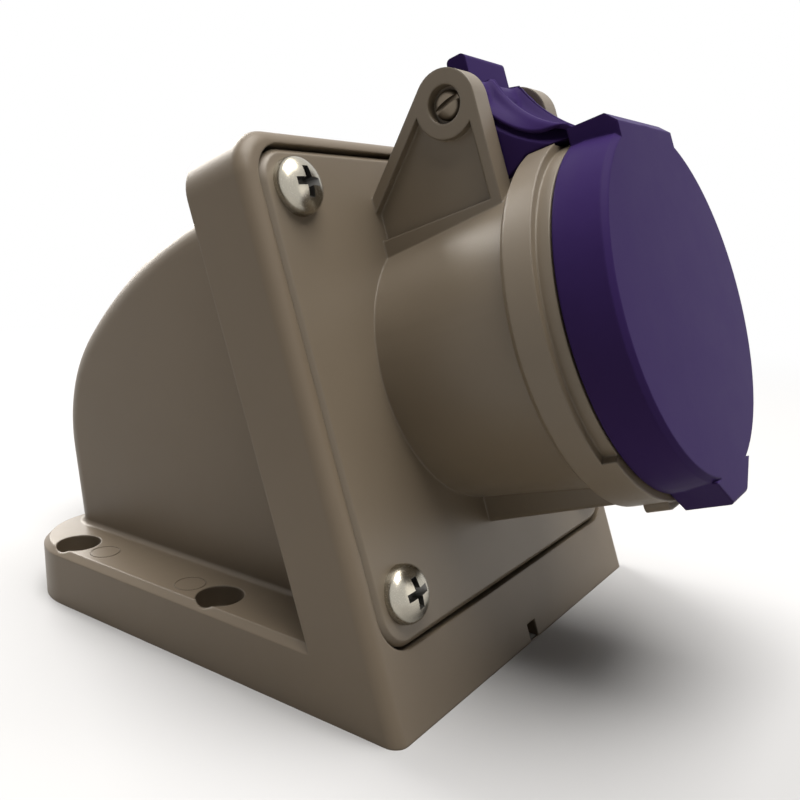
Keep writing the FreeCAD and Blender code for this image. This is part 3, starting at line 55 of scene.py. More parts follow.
# %% [markdown]
# ## Where the camera stands
#
# A camera could be turned by three angles until the picture looks right. It is steadier to say
# where it stands and along which directions it looks, because those numbers come from matching
# the box's straight edges and round holes. Azimuth turns round the upright axis, elevation lifts
# the camera above the floor, and roll is the small tilt of a hand-held picture.

# %% Camera
MM = 0.001
CAMERA_PLACE = Vector((-140.5, -128.6, 79.5)) * MM
AZIMUTH, ELEVATION, ROLL = math.radians(-55.18), math.radians(12.38), math.radians(1.12)
SENSOR_MM = 36.0
PICTURE_PIXELS = 800
FOCAL_PIXELS = 872.9


def camera_axes(azimuth, elevation, roll):
    """Right, up and back directions of a camera that looks at the object."""
    back = Vector((math.sin(azimuth) * math.cos(elevation),
                   -math.cos(azimuth) * math.cos(elevation), math.sin(elevation)))
    level = Vector((0, 0, 1)).cross(back).normalized()
    upright = back.cross(level)
    right = level * math.cos(roll) + upright * math.sin(roll)
    return right, back.cross(right), back


camera = bpy.data.objects.new("camera", bpy.data.cameras.new("camera"))
scene.collection.objects.link(camera)
axes = Matrix(camera_axes(AZIMUTH, ELEVATION, ROLL)).transposed().to_4x4()
camera.matrix_world = Matrix.Translation(CAMERA_PLACE) @ axes
camera.data.sensor_width = SENSOR_MM
camera.data.lens = FOCAL_PIXELS / PICTURE_PIXELS * SENSOR_MM
camera.data.clip_start = 0.01
scene.camera = camera
print("lens in mm:", round(camera.data.lens, 2))

# %% [markdown]
# ## Floor and sky
#
# A white studio is a pale floor under a lamp that is just strong enough to bring it to white, so
# the shadow stays. Far from the object the lamp fades, and there the floor glows by itself, but
# only for rays that see it: Light Path keeps that glow from lighting the plastic.

# %% Helpers for node trees
FIRST_COLOUR, SECOND_COLOUR, MIXED_COLOUR = 6, 7, 2


def node_adder(tree):
    """A function that adds one node to a shader tree, with its settings and its inputs."""
    def add(kind, settings=None, **inputs):
        node = tree.nodes.new(kind)
        for key, value in (settings or {}).items():
            setattr(node, key, value)
        for key, value in inputs.items():
            socket = node.inputs[key.replace("_", " ")]
            if isinstance(value, bpy.types.NodeSocket):
                tree.links.new(value, socket)
            else:
                socket.default_value = value
        return node

    return add


def new_material(name):
    """An empty material, and the function that adds nodes to it."""
    material = bpy.data.materials.new(name)
    material.use_nodes = True
    material.node_tree.nodes.clear()
    print("material:", name)
    return material, node_adder(material.node_tree)


def calculate(add, operation, *values):
    """One Math node, with numbers or sockets as its inputs."""
    node = add("ShaderNodeMath", {"operation": operation})
    for socket, value in zip(node.inputs, values):
        if isinstance(value, bpy.types.NodeSocket):
            node.id_data.links.new(value, socket)
        else:
            socket.default_value = value
    return node.outputs[0]


def mix_colours(add, share, first, second):
    """A colour that goes from the first to the second as the share goes from 0 to 1."""
    mix = add("ShaderNodeMix", {"data_type": "RGBA"})
    mix.id_data.links.new(share, mix.inputs["Factor"])
    mix.inputs[FIRST_COLOUR].default_value = first
    mix.inputs[SECOND_COLOUR].default_value = second
    return mix.outputs[MIXED_COLOUR]


# %% Floor
FLOOR_HALF = 3.0
FLOOR_SEEN = (0.58, 0.595, 0.625, 1)
FLOOR_BOUNCE = (0.44, 0.41, 0.36, 1)
GLOW_START, GLOW_FULL = 0.17, 0.42


def seen_rays(add):
    """One for rays that see a surface directly, in a reflection or through glass."""
    rays = add("ShaderNodeLightPath").outputs
    direct = calculate(add, "MAXIMUM", rays["Is Camera Ray"], rays["Is Glossy Ray"])
    return calculate(add, "MAXIMUM", direct, rays["Is Transmission Ray"])


def make_floor():
    mesh = bpy.data.meshes.new("floor")
    corners = [(x * FLOOR_HALF, y * FLOOR_HALF, 0) for x, y in ((-1, -1), (1, -1), (1, 1), (-1, 1))]
    mesh.from_pydata(corners, [], [(0, 1, 2, 3)])
    floor = bpy.data.objects.new("floor", mesh)
    scene.collection.objects.link(floor)
    material, add = new_material("pale_floor")
    place = add("ShaderNodeTexCoord").outputs["Object"]
    distance = add("ShaderNodeVectorMath", {"operation": "LENGTH"}, Vector=place)
    far = add("ShaderNodeMapRange", {"interpolation_type": "SMOOTHSTEP"},
              Value=distance.outputs["Value"], From_Min=GLOW_START, From_Max=GLOW_FULL)
    seen = seen_rays(add)
    glow_share = calculate(add, "MULTIPLY", far.outputs[0], seen)
    paper = add("ShaderNodeBsdfDiffuse", Color=mix_colours(add, seen, FLOOR_BOUNCE, FLOOR_SEEN))
    glow = add("ShaderNodeEmission", Strength=1.0)
    both = add("ShaderNodeMixShader", Fac=glow_share)
    for shader, socket in zip((paper, glow), both.inputs[1:]):
        material.node_tree.links.new(shader.outputs[0], socket)
    add("ShaderNodeOutputMaterial", Surface=both.outputs[0])
    mesh.materials.append(material)


make_floor()
print("floor, side in metres:", 2 * FLOOR_HALF)

# %% World
WORLD_LEVEL = 0.04
world = bpy.data.worlds.new("studio")
scene.world = world
world.use_nodes = True
world.node_tree.nodes.clear()
add_sky = node_adder(world.node_tree)
level = add_sky("ShaderNodeMapRange", Value=seen_rays(add_sky), To_Min=WORLD_LEVEL, To_Max=1.0)
sky = add_sky("ShaderNodeBackground", Color=(1, 1, 1, 1), Strength=level.outputs[0])
add_sky("ShaderNodeOutputWorld", Surface=sky.outputs[0])
scene.view_settings.view_transform = "Standard"
print("world level for the light:", WORLD_LEVEL)

# %% [markdown]
# ## Lights
#
# In the picture every surface that faces up is pale and every side is dark, so one wide lamp hangs
# overhead, a little to the front. The cream edges along the top mirror something bright behind the
# object, so a second lamp stands there, kept weak enough that views from behind don't turn white.
# A weak third one, low in front and to the right, lifts the cover's face.

# %% Lamps
AIM = Vector((0, -0.03, 0.04))
LAMP_TINT = (1.0, 0.955, 0.89)
LAMPS = {
    "overhead": ((0.02, -0.18, 0.92), 0.75, 13.5),
    "behind": ((0.22, 0.80, 0.50), 0.5, 10.0),
    "front": ((0.45, -0.82, 0.22), 0.5, 0.7),
}
for name, (place, size, power) in LAMPS.items():
    light = bpy.data.lights.new(name, "AREA")
    light.shape = "SQUARE"
    light.size = size
    light.energy = power
    light.color = LAMP_TINT
    lamp = bpy.data.objects.new(name, light)
    lamp.location = place
    lamp.rotation_euler = (AIM - Vector(place)).to_track_quat("-Z", "Y").to_euler()
    lamp.visible_camera = False
    scene.collection.objects.link(lamp)
    print(name, "lamp, watts:", power)

# %% [markdown]
# ## Finishes
#
# The box and the socket are moulded in a warm grey plastic with a fine, slightly glossy grain. One
# tree serves all plastics: a fine noise for the grain, a broad noise for the faint clouds that
# moulding leaves in the colour, and a third that varies the gloss as handling does.

# %% Plastic
CLOUD_SCALE, SCUFF_SCALE, GLOSS_SPREAD = 28.0, 130.0, 0.07
GRAIN_STRENGTH, EDGE_SAMPLES = 0.35, 6


def plastic(name, colour, roughness, grain_mm=0.35, grain_depth=0.02, clouding=0.1,
            gloss_level=0.35, edge_mm=0.5):
    """Moulded plastic with a fine grain, cloudy colour, uneven gloss and soft edges."""
    material, add = new_material(name)
    place = add("ShaderNodeTexCoord").outputs["Object"]
    grain = add("ShaderNodeTexNoise", Vector=place, Scale=1 / (grain_mm * MM), Detail=3.0)
    clouds = add("ShaderNodeTexNoise", Vector=place, Scale=CLOUD_SCALE, Detail=4.0, Roughness=0.6)
    scuffs = add("ShaderNodeTexNoise", Vector=place, Scale=SCUFF_SCALE, Detail=6.0, Roughness=0.7)
    dark = tuple(c * (1 - clouding) for c in colour) + (1,)
    pale = tuple(min(1, c * (1 + clouding)) for c in colour) + (1,)
    tint = mix_colours(add, clouds.outputs["Fac"], dark, pale)
    gloss = add("ShaderNodeMapRange", Value=scuffs.outputs["Fac"],
                To_Min=roughness - GLOSS_SPREAD, To_Max=roughness + GLOSS_SPREAD)
    soft_edge = add("ShaderNodeBevel", {"samples": EDGE_SAMPLES}, Radius=edge_mm * MM)
    bump = add("ShaderNodeBump", Height=grain.outputs["Fac"], Strength=GRAIN_STRENGTH,
               Distance=grain_depth * MM, Normal=soft_edge.outputs[0])
    shader = add("ShaderNodeBsdfPrincipled", Base_Color=tint,
                 Roughness=gloss.outputs[0], Normal=bump.outputs[0])
    shader.inputs["Specular IOR Level"].default_value = gloss_level
    add("ShaderNodeOutputMaterial", Surface=shader.outputs[0])
    return material


HOUSING_GREY = (0.172, 0.139, 0.102)
# The socket is the same plastic as the box. Its grey is the housing grey made a little lighter:
# painted light, for the extra light that the collar and ring catch.
SOCKET_GREY_PAINTED_LIGHT = (0.176, 0.145, 0.108)
COVER_BLUE = (0.036, 0.0195, 0.098)
housing_plastic = plastic("housing_plastic", HOUSING_GREY, 0.42)
socket_plastic = plastic("socket_plastic", SOCKET_GREY_PAINTED_LIGHT, 0.42, gloss_level=0.5)
cover_plastic = plastic("cover_plastic", COVER_BLUE, 0.42, clouding=0.06, gloss_level=0.02)
carrier_plastic = plastic("carrier_plastic", (0.03, 0.03, 0.034), 0.5)
gland_nylon = plastic("gland_nylon", (0.10, 0.10, 0.098), 0.5)

# %% [markdown]
# ## Metals and rubber
#
# Plated screws need sharp reflections with fine turning marks, and rubber is the opposite: dark,
# dull and a little dusty. Both come from the same pattern of noise, roughness and bump.

# %% Metal
STAIN_SCALE, STAIN_DARKENING = 400.0, 0.85
MARK_STRENGTH, MARK_DEPTH = 0.15, 0.01
SHINIEST, DULLEST = 0.7, 1.4


def metal(name, colour, roughness, mark_mm=0.15):
    """Bare or plated metal with fine marks in its gloss."""
    material, add = new_material(name)
    place = add("ShaderNodeTexCoord").outputs["Object"]
    marks = add("ShaderNodeTexNoise", Vector=place, Scale=1 / (mark_mm * MM), Detail=5.0)
    stains = add("ShaderNodeTexNoise", Vector=place, Scale=STAIN_SCALE, Detail=3.0)
    dark = tuple(c * STAIN_DARKENING for c in colour) + (1,)
    tint = mix_colours(add, stains.outputs["Fac"], dark, colour + (1,))
    gloss = add("ShaderNodeMapRange", Value=marks.outputs["Fac"], To_Min=roughness * SHINIEST,
                To_Max=roughness * DULLEST)
    bump = add("ShaderNodeBump", Height=marks.outputs["Fac"], Strength=MARK_STRENGTH,
               Distance=MARK_DEPTH * MM)
    shader = add("ShaderNodeBsdfPrincipled", Base_Color=tint, Metallic=1.0,
                 Roughness=gloss.outputs[0], Normal=bump.outputs[0])
    add("ShaderNodeOutputMaterial", Surface=shader.outputs[0])
    return material


bright_zinc = metal("bright_zinc", (0.45, 0.42, 0.35), 0.24)
plain_steel = metal("plain_steel", (0.17, 0.14, 0.105), 0.42)
spring_wire = metal("spring_wire", (0.5, 0.49, 0.47), 0.25)
# Painted shade: a darker steel for the walls of the screws' cross recess, in place of the shade
# that falls inside it.
recess_painted_shade = metal("recess_painted_shade", (0.16, 0.155, 0.145), 0.35)
turned_brass = metal("turned_brass", (0.75, 0.56, 0.25), 0.25)
nickel = metal("nickel", (0.7, 0.67, 0.6), 0.2)
soft_rubber = plastic("soft_rubber", (0.022, 0.022, 0.022), 0.75, grain_mm=0.2, grain_depth=0.03)

# %% [markdown]
# ## Where the socket's own parts are
#
# The collar, the plate's screws and the hinge all stand square to a face that leans back. Their
# places are easiest to say from the point where the collar's axis meets that face: so much to
# the side, so much uphill, and so much outwards.

# %% Places on the leaning face
LEAN = math.radians(19.5)
SIDE = Vector((1, 0, 0))
UPHILL = Vector((0, math.sin(LEAN), math.cos(LEAN)))
OUTWARD = Vector((0, -math.cos(LEAN), math.sin(LEAN)))
AXIS_HEIGHT, FRONT_REACH = 54.5, 63.3
AXIS_POINT = AXIS_HEIGHT * UPHILL - Vector((0, FRONT_REACH, 0))
PIVOT_UP, PIVOT_OUT = 40.9, 18.5


def on_face(side, uphill, outward):
    """A point in metres from three distances in millimetres."""
    return (AXIS_POINT + side * SIDE + uphill * UPHILL + outward * OUTWARD) * MM


HINGE = on_face(0, PIVOT_UP, PIVOT_OUT)
AT_HINGE = Matrix.Translation(HINGE) @ Matrix((SIDE, UPHILL, OUTWARD)).transposed().to_4x4()
print("hinge axis:", [round(value, 4) for value in HINGE])

# %% [markdown]
# ## Foot of the collar
#
# The measured collar stands on the plate with a narrow cone, which helps in a mould. In the
# picture the two meet in a plain dark crease. Pressing the cone's points down to the plate turns
# it into a flat ring, and leaves every other edge of the moulding where it was measured.

# %% Crease at the collar's foot
FOOT_RADIUS, FOOT_CONE, FOOT_REST = 25.7, 1.2, 0.03
NEAR, NEAR_CONE = 0.05, 0.06


def crisp_collar_foot(shape):
    """Presses the points of the cone between plate and collar down to the plate."""
    pressed = 0
    for vert in shape.verts:
        offset = vert.co / MM - AXIS_POINT
        out = offset.dot(OUTWARD)
        radius = math.hypot(offset.dot(SIDE), offset.dot(UPHILL))
        on_cone = abs(radius + out - FOOT_RADIUS - FOOT_CONE) < NEAR_CONE
        if on_cone and NEAR < out < FOOT_CONE + NEAR:
            vert.co += (FOOT_REST - out) * OUTWARD * MM
            pressed += 1
    print("points pressed to the plate:", pressed)


# %% [markdown]
# ## Smooth copies of the solids
#
# The frame's solids are made of loose triangles, which render as facets on round walls. Shading
# them smooth isn't enough, because loose triangles share no corners. Each visible solid is
# therefore copied, its doubles merged, and its flat faces dissolved into whole ones. A narrow
# bevel along the remaining edges then catches the light as a real moulded edge does.

# %% Copy helper
FINISHES = {
    "box": housing_plastic, "socket_body": socket_plastic, "lid": cover_plastic,
    "lid_gasket": soft_rubber, "hinge_pin": plain_steel, "pin_clip": spring_wire,
    "hinge_spring": spring_wire, "panel_gasket": soft_rubber, "plate_screws": bright_zinc,
    "threaded_inserts": turned_brass, "contact_carrier": carrier_plastic,
    "carrier_back": carrier_plastic, "line_contact": nickel, "neutral_contact": nickel,
    "earth_contact": nickel, "terminal_screws": bright_zinc, "sleeve_rings": spring_wire,
    "carrier_screws": bright_zinc, "back_screw": bright_zinc, "gland_washer": soft_rubber,
    "gland_body": gland_nylon, "gland_seal": soft_rubber, "gland_nut": gland_nylon,
    "gland_locknut": gland_nylon,
}
BODY_OF = {node: body for body, nodes in frame["record"]["behaviour"]["bodies"].items()
           for node in nodes}


def set_finish(obj, material):
    """Gives an object one material and no other."""
    obj.data.materials.clear()
    obj.data.materials.append(material)


def applied(obj, name):
    """The object with its modifiers applied, under a new name."""
    bpy.context.view_layer.update()
    depsgraph = bpy.context.evaluated_depsgraph_get()
    mesh = bpy.data.meshes.new_from_object(obj.evaluated_get(depsgraph))
    bpy.data.objects.remove(obj)
    result = bpy.data.objects.new(name, mesh)
    scene.collection.objects.link(result)
    return result


SHARP_ANGLE = math.radians(32)
FLAT_ANGLE = math.radians(0.6)
MERGE_MM = 0.002


def smooth_copy(node, bevel_mm):
    """A merged copy of a solid with softened edges, which stands in for it."""
    mesh = solids[node].data.copy()
    shape = bmesh.new()
    shape.from_mesh(mesh)
    bmesh.ops.remove_doubles(shape, verts=shape.verts, dist=MERGE_MM * MM)
    if node == "socket_body":
        crisp_collar_foot(shape)
    bmesh.ops.dissolve_limit(shape, angle_limit=FLAT_ANGLE, verts=shape.verts, edges=shape.edges)
    for face in shape.faces:
        face.smooth = True
    shape.to_mesh(mesh)
    shape.free()
    mesh.set_sharp_from_angle(angle=SHARP_ANGLE)
    copy = bpy.data.objects.new(f"{node}_draft", mesh)
    scene.collection.objects.link(copy)
    if bevel_mm:
        bevel = copy.modifiers.new("edge", "BEVEL")
        bevel.width = bevel_mm * MM
        bevel.segments = 3
        bevel.limit_method = "ANGLE"
        bevel.angle_limit = SHARP_ANGLE
    weigh = copy.modifiers.new("flat faces stay flat", "WEIGHTED_NORMAL")
    weigh.keep_sharp = True
    result = applied(copy, f"{node}_finished")
    set_finish(result, FINISHES[node])
    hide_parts(node)
    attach(result, BODY_OF[node])
    print(node, "faces:", len(result.data.polygons))


for node, material in FINISHES.items():
    set_finish(solids[node], material)

# %% [markdown]
# ## The visible pieces
#
# Large mouldings get the widest bevel. Small round parts only need their curved walls smooth. The
# pieces that aren't named here keep their plain solids, or are made anew further down.

# %% Dress the solids
EDGE_MM = {"box": 0.25, "socket_body": 0.25, "lid": 0.3, "gland_body": 0.2, "gland_nut": 0.3,
           "gland_locknut": 0.2, "contact_carrier": 0.15, "pin_clip": 0.0, "lid_gasket": 0.0}
for node, width in EDGE_MM.items():
    smooth_copy(node, width)

# %% [markdown]
# ## Helpers for Geometry Nodes
#
# A Geometry Nodes tree is a recipe that stays adjustable. Each tree here gets named inputs, which
# hold its sizes, and a small function adds one node and joins its inputs, so that a recipe reads
# from top to bottom.

# %% Geometry Nodes helpers
def mm(value):
    """Metres from millimetres."""
    return value * MM


def new_recipe(name, **lengths):
    """An empty tree with named number inputs, and a function that adds linked nodes."""
    tree = bpy.data.node_groups.new(name, "GeometryNodeTree")
    tree.interface.new_socket("Geometry", in_out="INPUT", socket_type="NodeSocketGeometry")
    for label, value in lengths.items():
        socket = tree.interface.new_socket(label.replace("_", " "), in_out="INPUT",
                                           socket_type="NodeSocketFloat")
        socket.default_value = value
    tree.interface.new_socket("Geometry", in_out="OUTPUT", socket_type="NodeSocketGeometry")
    start = tree.nodes.new("NodeGroupInput")

    def add(kind, settings=None, **inputs):
        node = tree.nodes.new(kind)
        for key, value in (settings or {}).items():
            setattr(node, key, value)
        for key, value in inputs.items():
            name = key.replace("_", " ")
            found = [s for s in node.inputs if s.name == name and s.enabled]
            socket = found[0] if found else node.inputs[int(key[1:])]
            for item in value if isinstance(value, list) else [value]:
                if isinstance(item, bpy.types.NodeSocket):
                    tree.links.new(item, socket)
                else:
                    socket.default_value = item
        return node

    return tree, start.outputs, add


def finish_recipe(tree, add, geometry, material, keep=None):
    """Ends a tree with Realize Instances and Set Material. keep is a material left alone."""
    solid = add("GeometryNodeRealizeInstances", Geometry=geometry)
    paint = add("GeometryNodeSetMaterial", Geometry=solid.outputs[0], Material=material)
    if keep:
        kept = add("GeometryNodeMaterialSelection", Material=keep)
        others = add("FunctionNodeBooleanMath", {"operation": "NOT"}, Boolean=kept.outputs[0])
        tree.links.new(others.outputs[0], paint.inputs["Selection"])
    end = tree.nodes.new("NodeGroupOutput")
    tree.links.new(paint.outputs[0], end.inputs[0])


def grow(name, tree, mesh):
    """Runs a recipe on a mesh and returns the plain mesh object that it makes."""
    base = bpy.data.objects.new(f"{name}_base", mesh)
    scene.collection.objects.link(base)
    modifier = base.modifiers.new("recipe", "NODES")
    modifier.node_group = tree
    return applied(base, name)


def stands_for(piece, node):
    """Hands a made piece over in place of one CAD node."""
    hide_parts(node)
    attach(piece, BODY_OF[node])
    print(piece.name, "faces:", len(piece.data.polygons))


# %% [markdown]
# ## Plate screws
#
# Four domed screws hold the plate. A dome is half a ball that has been pressed flat, and its cross
# is two tapered blocks cut out of it. Modelling one and copying it would do, but a recipe keeps
# head, cross and thread adjustable, and places all four at once on four points.

# %% Screw recipe
DOME_EXPONENT, DOME_SEGMENTS, SHANK_STEPS, THREAD_STEPS = 0.62, 64, 24, 24
RECESS_TAPER = 0.35
THREAD_SHARE, THREAD_START, RIDGE_SHARE = 0.72, -0.97, 0.24
SPIN, SPIN_SEED = 0.14, 7


def screw_tree():
    """One domed cross-recess screw on every point of the mesh, along the face's outward line."""
    tree, given, add = new_recipe(
        "domed_screws", Head_Radius=mm(4.8), Head_Height=mm(3.2), Cross_Reach=mm(4.1),
        Cross_Width=mm(1.3), Cross_Depth=mm(2.0), Shank_Radius=mm(2.15), Shank_Length=mm(11.3),
        Thread_Pitch=mm(0.8))
    ball = add("GeometryNodeMeshUVSphere", Segments=DOME_SEGMENTS, Rings=DOME_SEGMENTS // 2,
               Radius=1.0)
    place = add("ShaderNodeSeparateXYZ", Vector=add("GeometryNodeInputPosition").outputs[0]).outputs
    above = calculate(add, "MAXIMUM", place["Z"], 0.0)
    lifted = calculate(add, "POWER", above, DOME_EXPONENT)
    height = calculate(add, "MULTIPLY", lifted, given["Head Height"])
    width = add("ShaderNodeCombineXYZ",
                X=calculate(add, "MULTIPLY", place["X"], given["Head Radius"]),
                Y=calculate(add, "MULTIPLY", place["Y"], given["Head Radius"]), Z=height)
    dome = add("GeometryNodeSetPosition", Geometry=ball.outputs[0], Position=width.outputs[0])
    blocks = []
    for turn in (0, math.pi / 2):
        size = add("ShaderNodeCombineXYZ", X=calculate(add, "MULTIPLY", given["Cross Reach"], 2.0),
                   Y=given["Cross Width"], Z=calculate(add, "MULTIPLY", given["Cross Depth"], 2.0))
        block = add("GeometryNodeMeshCube", Size=size.outputs[0])
        corner = add("ShaderNodeSeparateXYZ",
                     Vector=add("GeometryNodeInputPosition").outputs[0]).outputs
        low = calculate(add, "LESS_THAN", corner["Z"], 0.0)
        pull = add("ShaderNodeMapRange", Value=low, To_Min=1.0, To_Max=RECESS_TAPER)
        narrow = add("ShaderNodeCombineXYZ",
                     X=calculate(add, "MULTIPLY", corner["X"], pull.outputs[0]), Y=corner["Y"],
                     Z=corner["Z"])
        taper = add("GeometryNodeSetPosition", Geometry=block.outputs[0],
                    Position=narrow.outputs[0])
        lift = add("ShaderNodeCombineXYZ", Z=given["Head Height"])
        blocks.append(add("GeometryNodeTransform", Geometry=taper.outputs[0],
                          Translation=lift.outputs[0], Rotation=(0, 0, turn)).outputs[0])
    # The recess walls take the darker steel, which is painted shade inside the cross.
    dark = [add("GeometryNodeSetMaterial", Geometry=block, Material=recess_painted_shade).outputs[0]
            for block in blocks]
    bright = add("GeometryNodeSetMaterial", Geometry=dome.outputs[0], Material=bright_zinc)
    cut = add("GeometryNodeMeshBoolean", {"operation": "DIFFERENCE", "solver": "EXACT"},
              Mesh_1=bright.outputs[0], Mesh_2=dark)
    shank = add("GeometryNodeMeshCylinder", Vertices=SHANK_STEPS, Radius=given["Shank Radius"],
                Depth=given["Shank Length"])
    drop = add("ShaderNodeCombineXYZ", Z=calculate(add, "MULTIPLY", given["Shank Length"], -0.5))
    shaft = add("GeometryNodeTransform", Geometry=shank.outputs[0], Translation=drop.outputs[0])
    length = calculate(add, "MULTIPLY", given["Shank Length"], THREAD_SHARE)
    turns = calculate(add, "DIVIDE", length, given["Thread Pitch"])
    helix = add("GeometryNodeCurveSpiral", Resolution=THREAD_STEPS, Rotations=turns,
                Start_Radius=given["Shank Radius"], End_Radius=given["Shank Radius"],
                Height=length)
    ridge = add("GeometryNodeCurvePrimitiveCircle", Resolution=4,
                Radius=calculate(add, "MULTIPLY", given["Thread Pitch"], RIDGE_SHARE))
    thread = add("GeometryNodeCurveToMesh", Curve=helix.outputs[0],
                 Profile_Curve=ridge.outputs[0], Fill_Caps=True)
    below = add("ShaderNodeCombineXYZ",
                Z=calculate(add, "MULTIPLY", given["Shank Length"], THREAD_START))
    wound = add("GeometryNodeTransform", Geometry=thread.outputs[0], Translation=below.outputs[0])
    smooth = add("GeometryNodeSetShadeSmooth", Geometry=cut.outputs[0])
    whole = add("GeometryNodeJoinGeometry",
                Geometry=[smooth.outputs[0], shaft.outputs[0], wound.outputs[0]])
    aim = add("FunctionNodeAlignRotationToVector", {"axis": "Z"}, Vector=tuple(OUTWARD))
    spin = add("FunctionNodeRandomValue", {"data_type": "FLOAT"}, Min=-SPIN, Max=SPIN,
               Seed=SPIN_SEED)
    twist = add("FunctionNodeAxisAngleToRotation", Axis=(0, 0, 1))
    tree.links.new([s for s in spin.outputs if s.enabled][0], twist.inputs["Angle"])
    turned = add("FunctionNodeRotateRotation", {"rotation_space": "LOCAL"},
                 Rotation=aim.outputs[0], Rotate_By=twist.outputs[0])
    placed = add("GeometryNodeInstanceOnPoints", Points=given["Geometry"],
                 Instance=whole.outputs[0], Rotation=turned.outputs[0])
    finish_recipe(tree, add, placed.outputs[0], bright_zinc, keep=recess_painted_shade)
    return tree


# %% Place the screws
SCREW_SIDE = 34.5
SCREW_ROWS = (-33.4, 32.9)
points = bpy.data.meshes.new("screw_points")
points.from_pydata([on_face(side * SCREW_SIDE, row, 0) for side in (-1, 1) for row in SCREW_ROWS],
                   [], [])
plate_screws = grow("plate_screws_finished", screw_tree(), points)
plate_screws.data.set_sharp_from_angle(angle=SHARP_ANGLE)
stands_for(plate_screws, "plate_screws")

# %% [markdown]
# ## Hinge spring
#
# A torsion spring of round wire closes the cover. Its line is a helix between two straight legs,
# and a circle swept along it gives the wire. The sweep is a recipe as well, so the wire's radius
# and the number of turns can be changed in one place. The upper leg presses on the cover and turns
# with it, so it is a piece of its own, which slides round the coil's end as the cover opens.

# %% Spring recipe
COIL_STEPS, WIRE_STEPS = 36, 12


def spring_tree(name, moving):
    """A helix along X with its lower leg, or the moving upper leg, swept with a round wire."""
    tree, given, add = new_recipe(name, Mean_Radius=mm(2.8), Wire_Radius=mm(0.4),
                                  Turns=6.0, Pitch=mm(1.35), Drop=mm(15.0), Rise=mm(8.2))
    length = calculate(add, "MULTIPLY", given["Turns"], given["Pitch"])
    coil = add("GeometryNodeCurveSpiral", Resolution=COIL_STEPS, Rotations=given["Turns"],
               Start_Radius=given["Mean Radius"], End_Radius=given["Mean Radius"], Height=length)
    half = calculate(add, "MULTIPLY", length, -0.5)
    centred = add("GeometryNodeTransform", Geometry=coil.outputs[0],
                  Translation=add("ShaderNodeCombineXYZ", Z=half).outputs[0])
    lying = add("GeometryNodeTransform", Geometry=centred.outputs[0],
                Rotation=(0, math.pi / 2, 0))
    behind = calculate(add, "MULTIPLY", given["Mean Radius"], -1.0)
    foot = add("ShaderNodeCombineXYZ", X=half, Y=calculate(add, "MULTIPLY", given["Drop"], -1.0),
               Z=behind)
    top = add("ShaderNodeCombineXYZ", X=calculate(add, "MULTIPLY", half, -1.0), Y=given["Rise"],
              Z=behind)
    low = add("GeometryNodeCurvePrimitiveLine", Start=foot.outputs[0],
              End=add("ShaderNodeCombineXYZ", X=half, Z=behind).outputs[0])
    high = add("GeometryNodeCurvePrimitiveLine",
               Start=add("ShaderNodeCombineXYZ", X=calculate(add, "MULTIPLY", half, -1.0),
                         Z=behind).outputs[0], End=top.outputs[0])
    chosen = [high] if moving else [lying, low]
    line = add("GeometryNodeJoinGeometry", Geometry=[part.outputs[0] for part in chosen])
    ring = add("GeometryNodeCurvePrimitiveCircle", Resolution=WIRE_STEPS,
               Radius=given["Wire Radius"])
    wire = add("GeometryNodeCurveToMesh", Curve=line.outputs[0], Profile_Curve=ring.outputs[0],
               Fill_Caps=True)
    smooth = add("GeometryNodeSetShadeSmooth", Geometry=wire.outputs[0])
    finish_recipe(tree, add, smooth.outputs[0], spring_wire)
    return tree


def move_into_mesh(obj, matrix):
    """Moves the mesh, so that the object itself stays at the origin."""
    obj.data.transform(matrix)
    obj.data.update()


# %% Wind the spring
def wind_spring(name, moving):
    """One piece of the spring, wound about the hinge."""
    seed = bpy.data.meshes.new(f"{name}_seed")
    wire = grow(name, spring_tree(f"{name}_recipe", moving), seed)
    move_into_mesh(wire, AT_HINGE)
    return wire


stands_for(wind_spring("hinge_spring_finished", moving=False), "hinge_spring")
spring_leg = wind_spring("hinge_spring_leg", moving=True)
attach(spring_leg, BODY_OF["lid"])
print("spring leg faces:", len(spring_leg.data.polygons))

# %% [markdown]
# ## Hinge pin
#
# The pin is a rivet-like rod with a low domed head, which sits in a dark ring in the ear and has a
# screwdriver slot. A rod is a profile turned about its axis, so a small lathe function makes it
# from a list of radii and positions. The slot is then cut by a Boolean modifier.

# %% Lathe helper
def turn_profile(name, profile, steps=64):
    """A closed solid turned about X from (radius, place) pairs in millimetres."""
    shape = bmesh.new()
    rings = []
    for radius, place in profile:
        count = steps if radius else 1
        rings.append([shape.verts.new((place * MM, radius * MM * math.cos(math.tau * n / steps),
                                       radius * MM * math.sin(math.tau * n / steps)))
                      for n in range(count)])
    for first, second in zip(rings, rings[1:]):
        for n in range(steps):
            corners = [first[n % len(first)], first[(n + 1) % len(first)],
                       second[(n + 1) % len(second)], second[n % len(second)]]
            shape.faces.new(list(dict.fromkeys(corners)))
    bmesh.ops.recalc_face_normals(shape, faces=shape.faces)
    for face in shape.faces:
        face.smooth = True
    mesh = bpy.data.meshes.new(name)
    shape.to_mesh(mesh)
    shape.free()
    return mesh


def block_mesh(name, size, place):
    """A small box mesh, used as a cutter, in millimetres."""
    shape = bmesh.new()
    bmesh.ops.create_cube(shape, size=1.0)
    bmesh.ops.scale(shape, vec=[length * MM for length in size], verts=shape.verts)
    bmesh.ops.translate(shape, vec=[length * MM for length in place], verts=shape.verts)
    mesh = bpy.data.meshes.new(name)
    shape.to_mesh(mesh)
    shape.free()
    return mesh


# %% Turn the pin
# Lengths in millimetres along and round the pin's own axis
PIN_SEAT, PIN_RADIUS, HEAD_RADIUS, HEAD_RISE = 13.2, 1.98, 2.5, 1.8
HEAD_EDGE, HEAD_BULGE, HEAD_RINGS = 0.35, 0.8, 13
PIN_TAIL, TAIL_CHAMFER = 1.4, 0.3
SLOT_SIZE, SLOT_TURN = (2.0, 6.0, 0.85), math.radians(75)

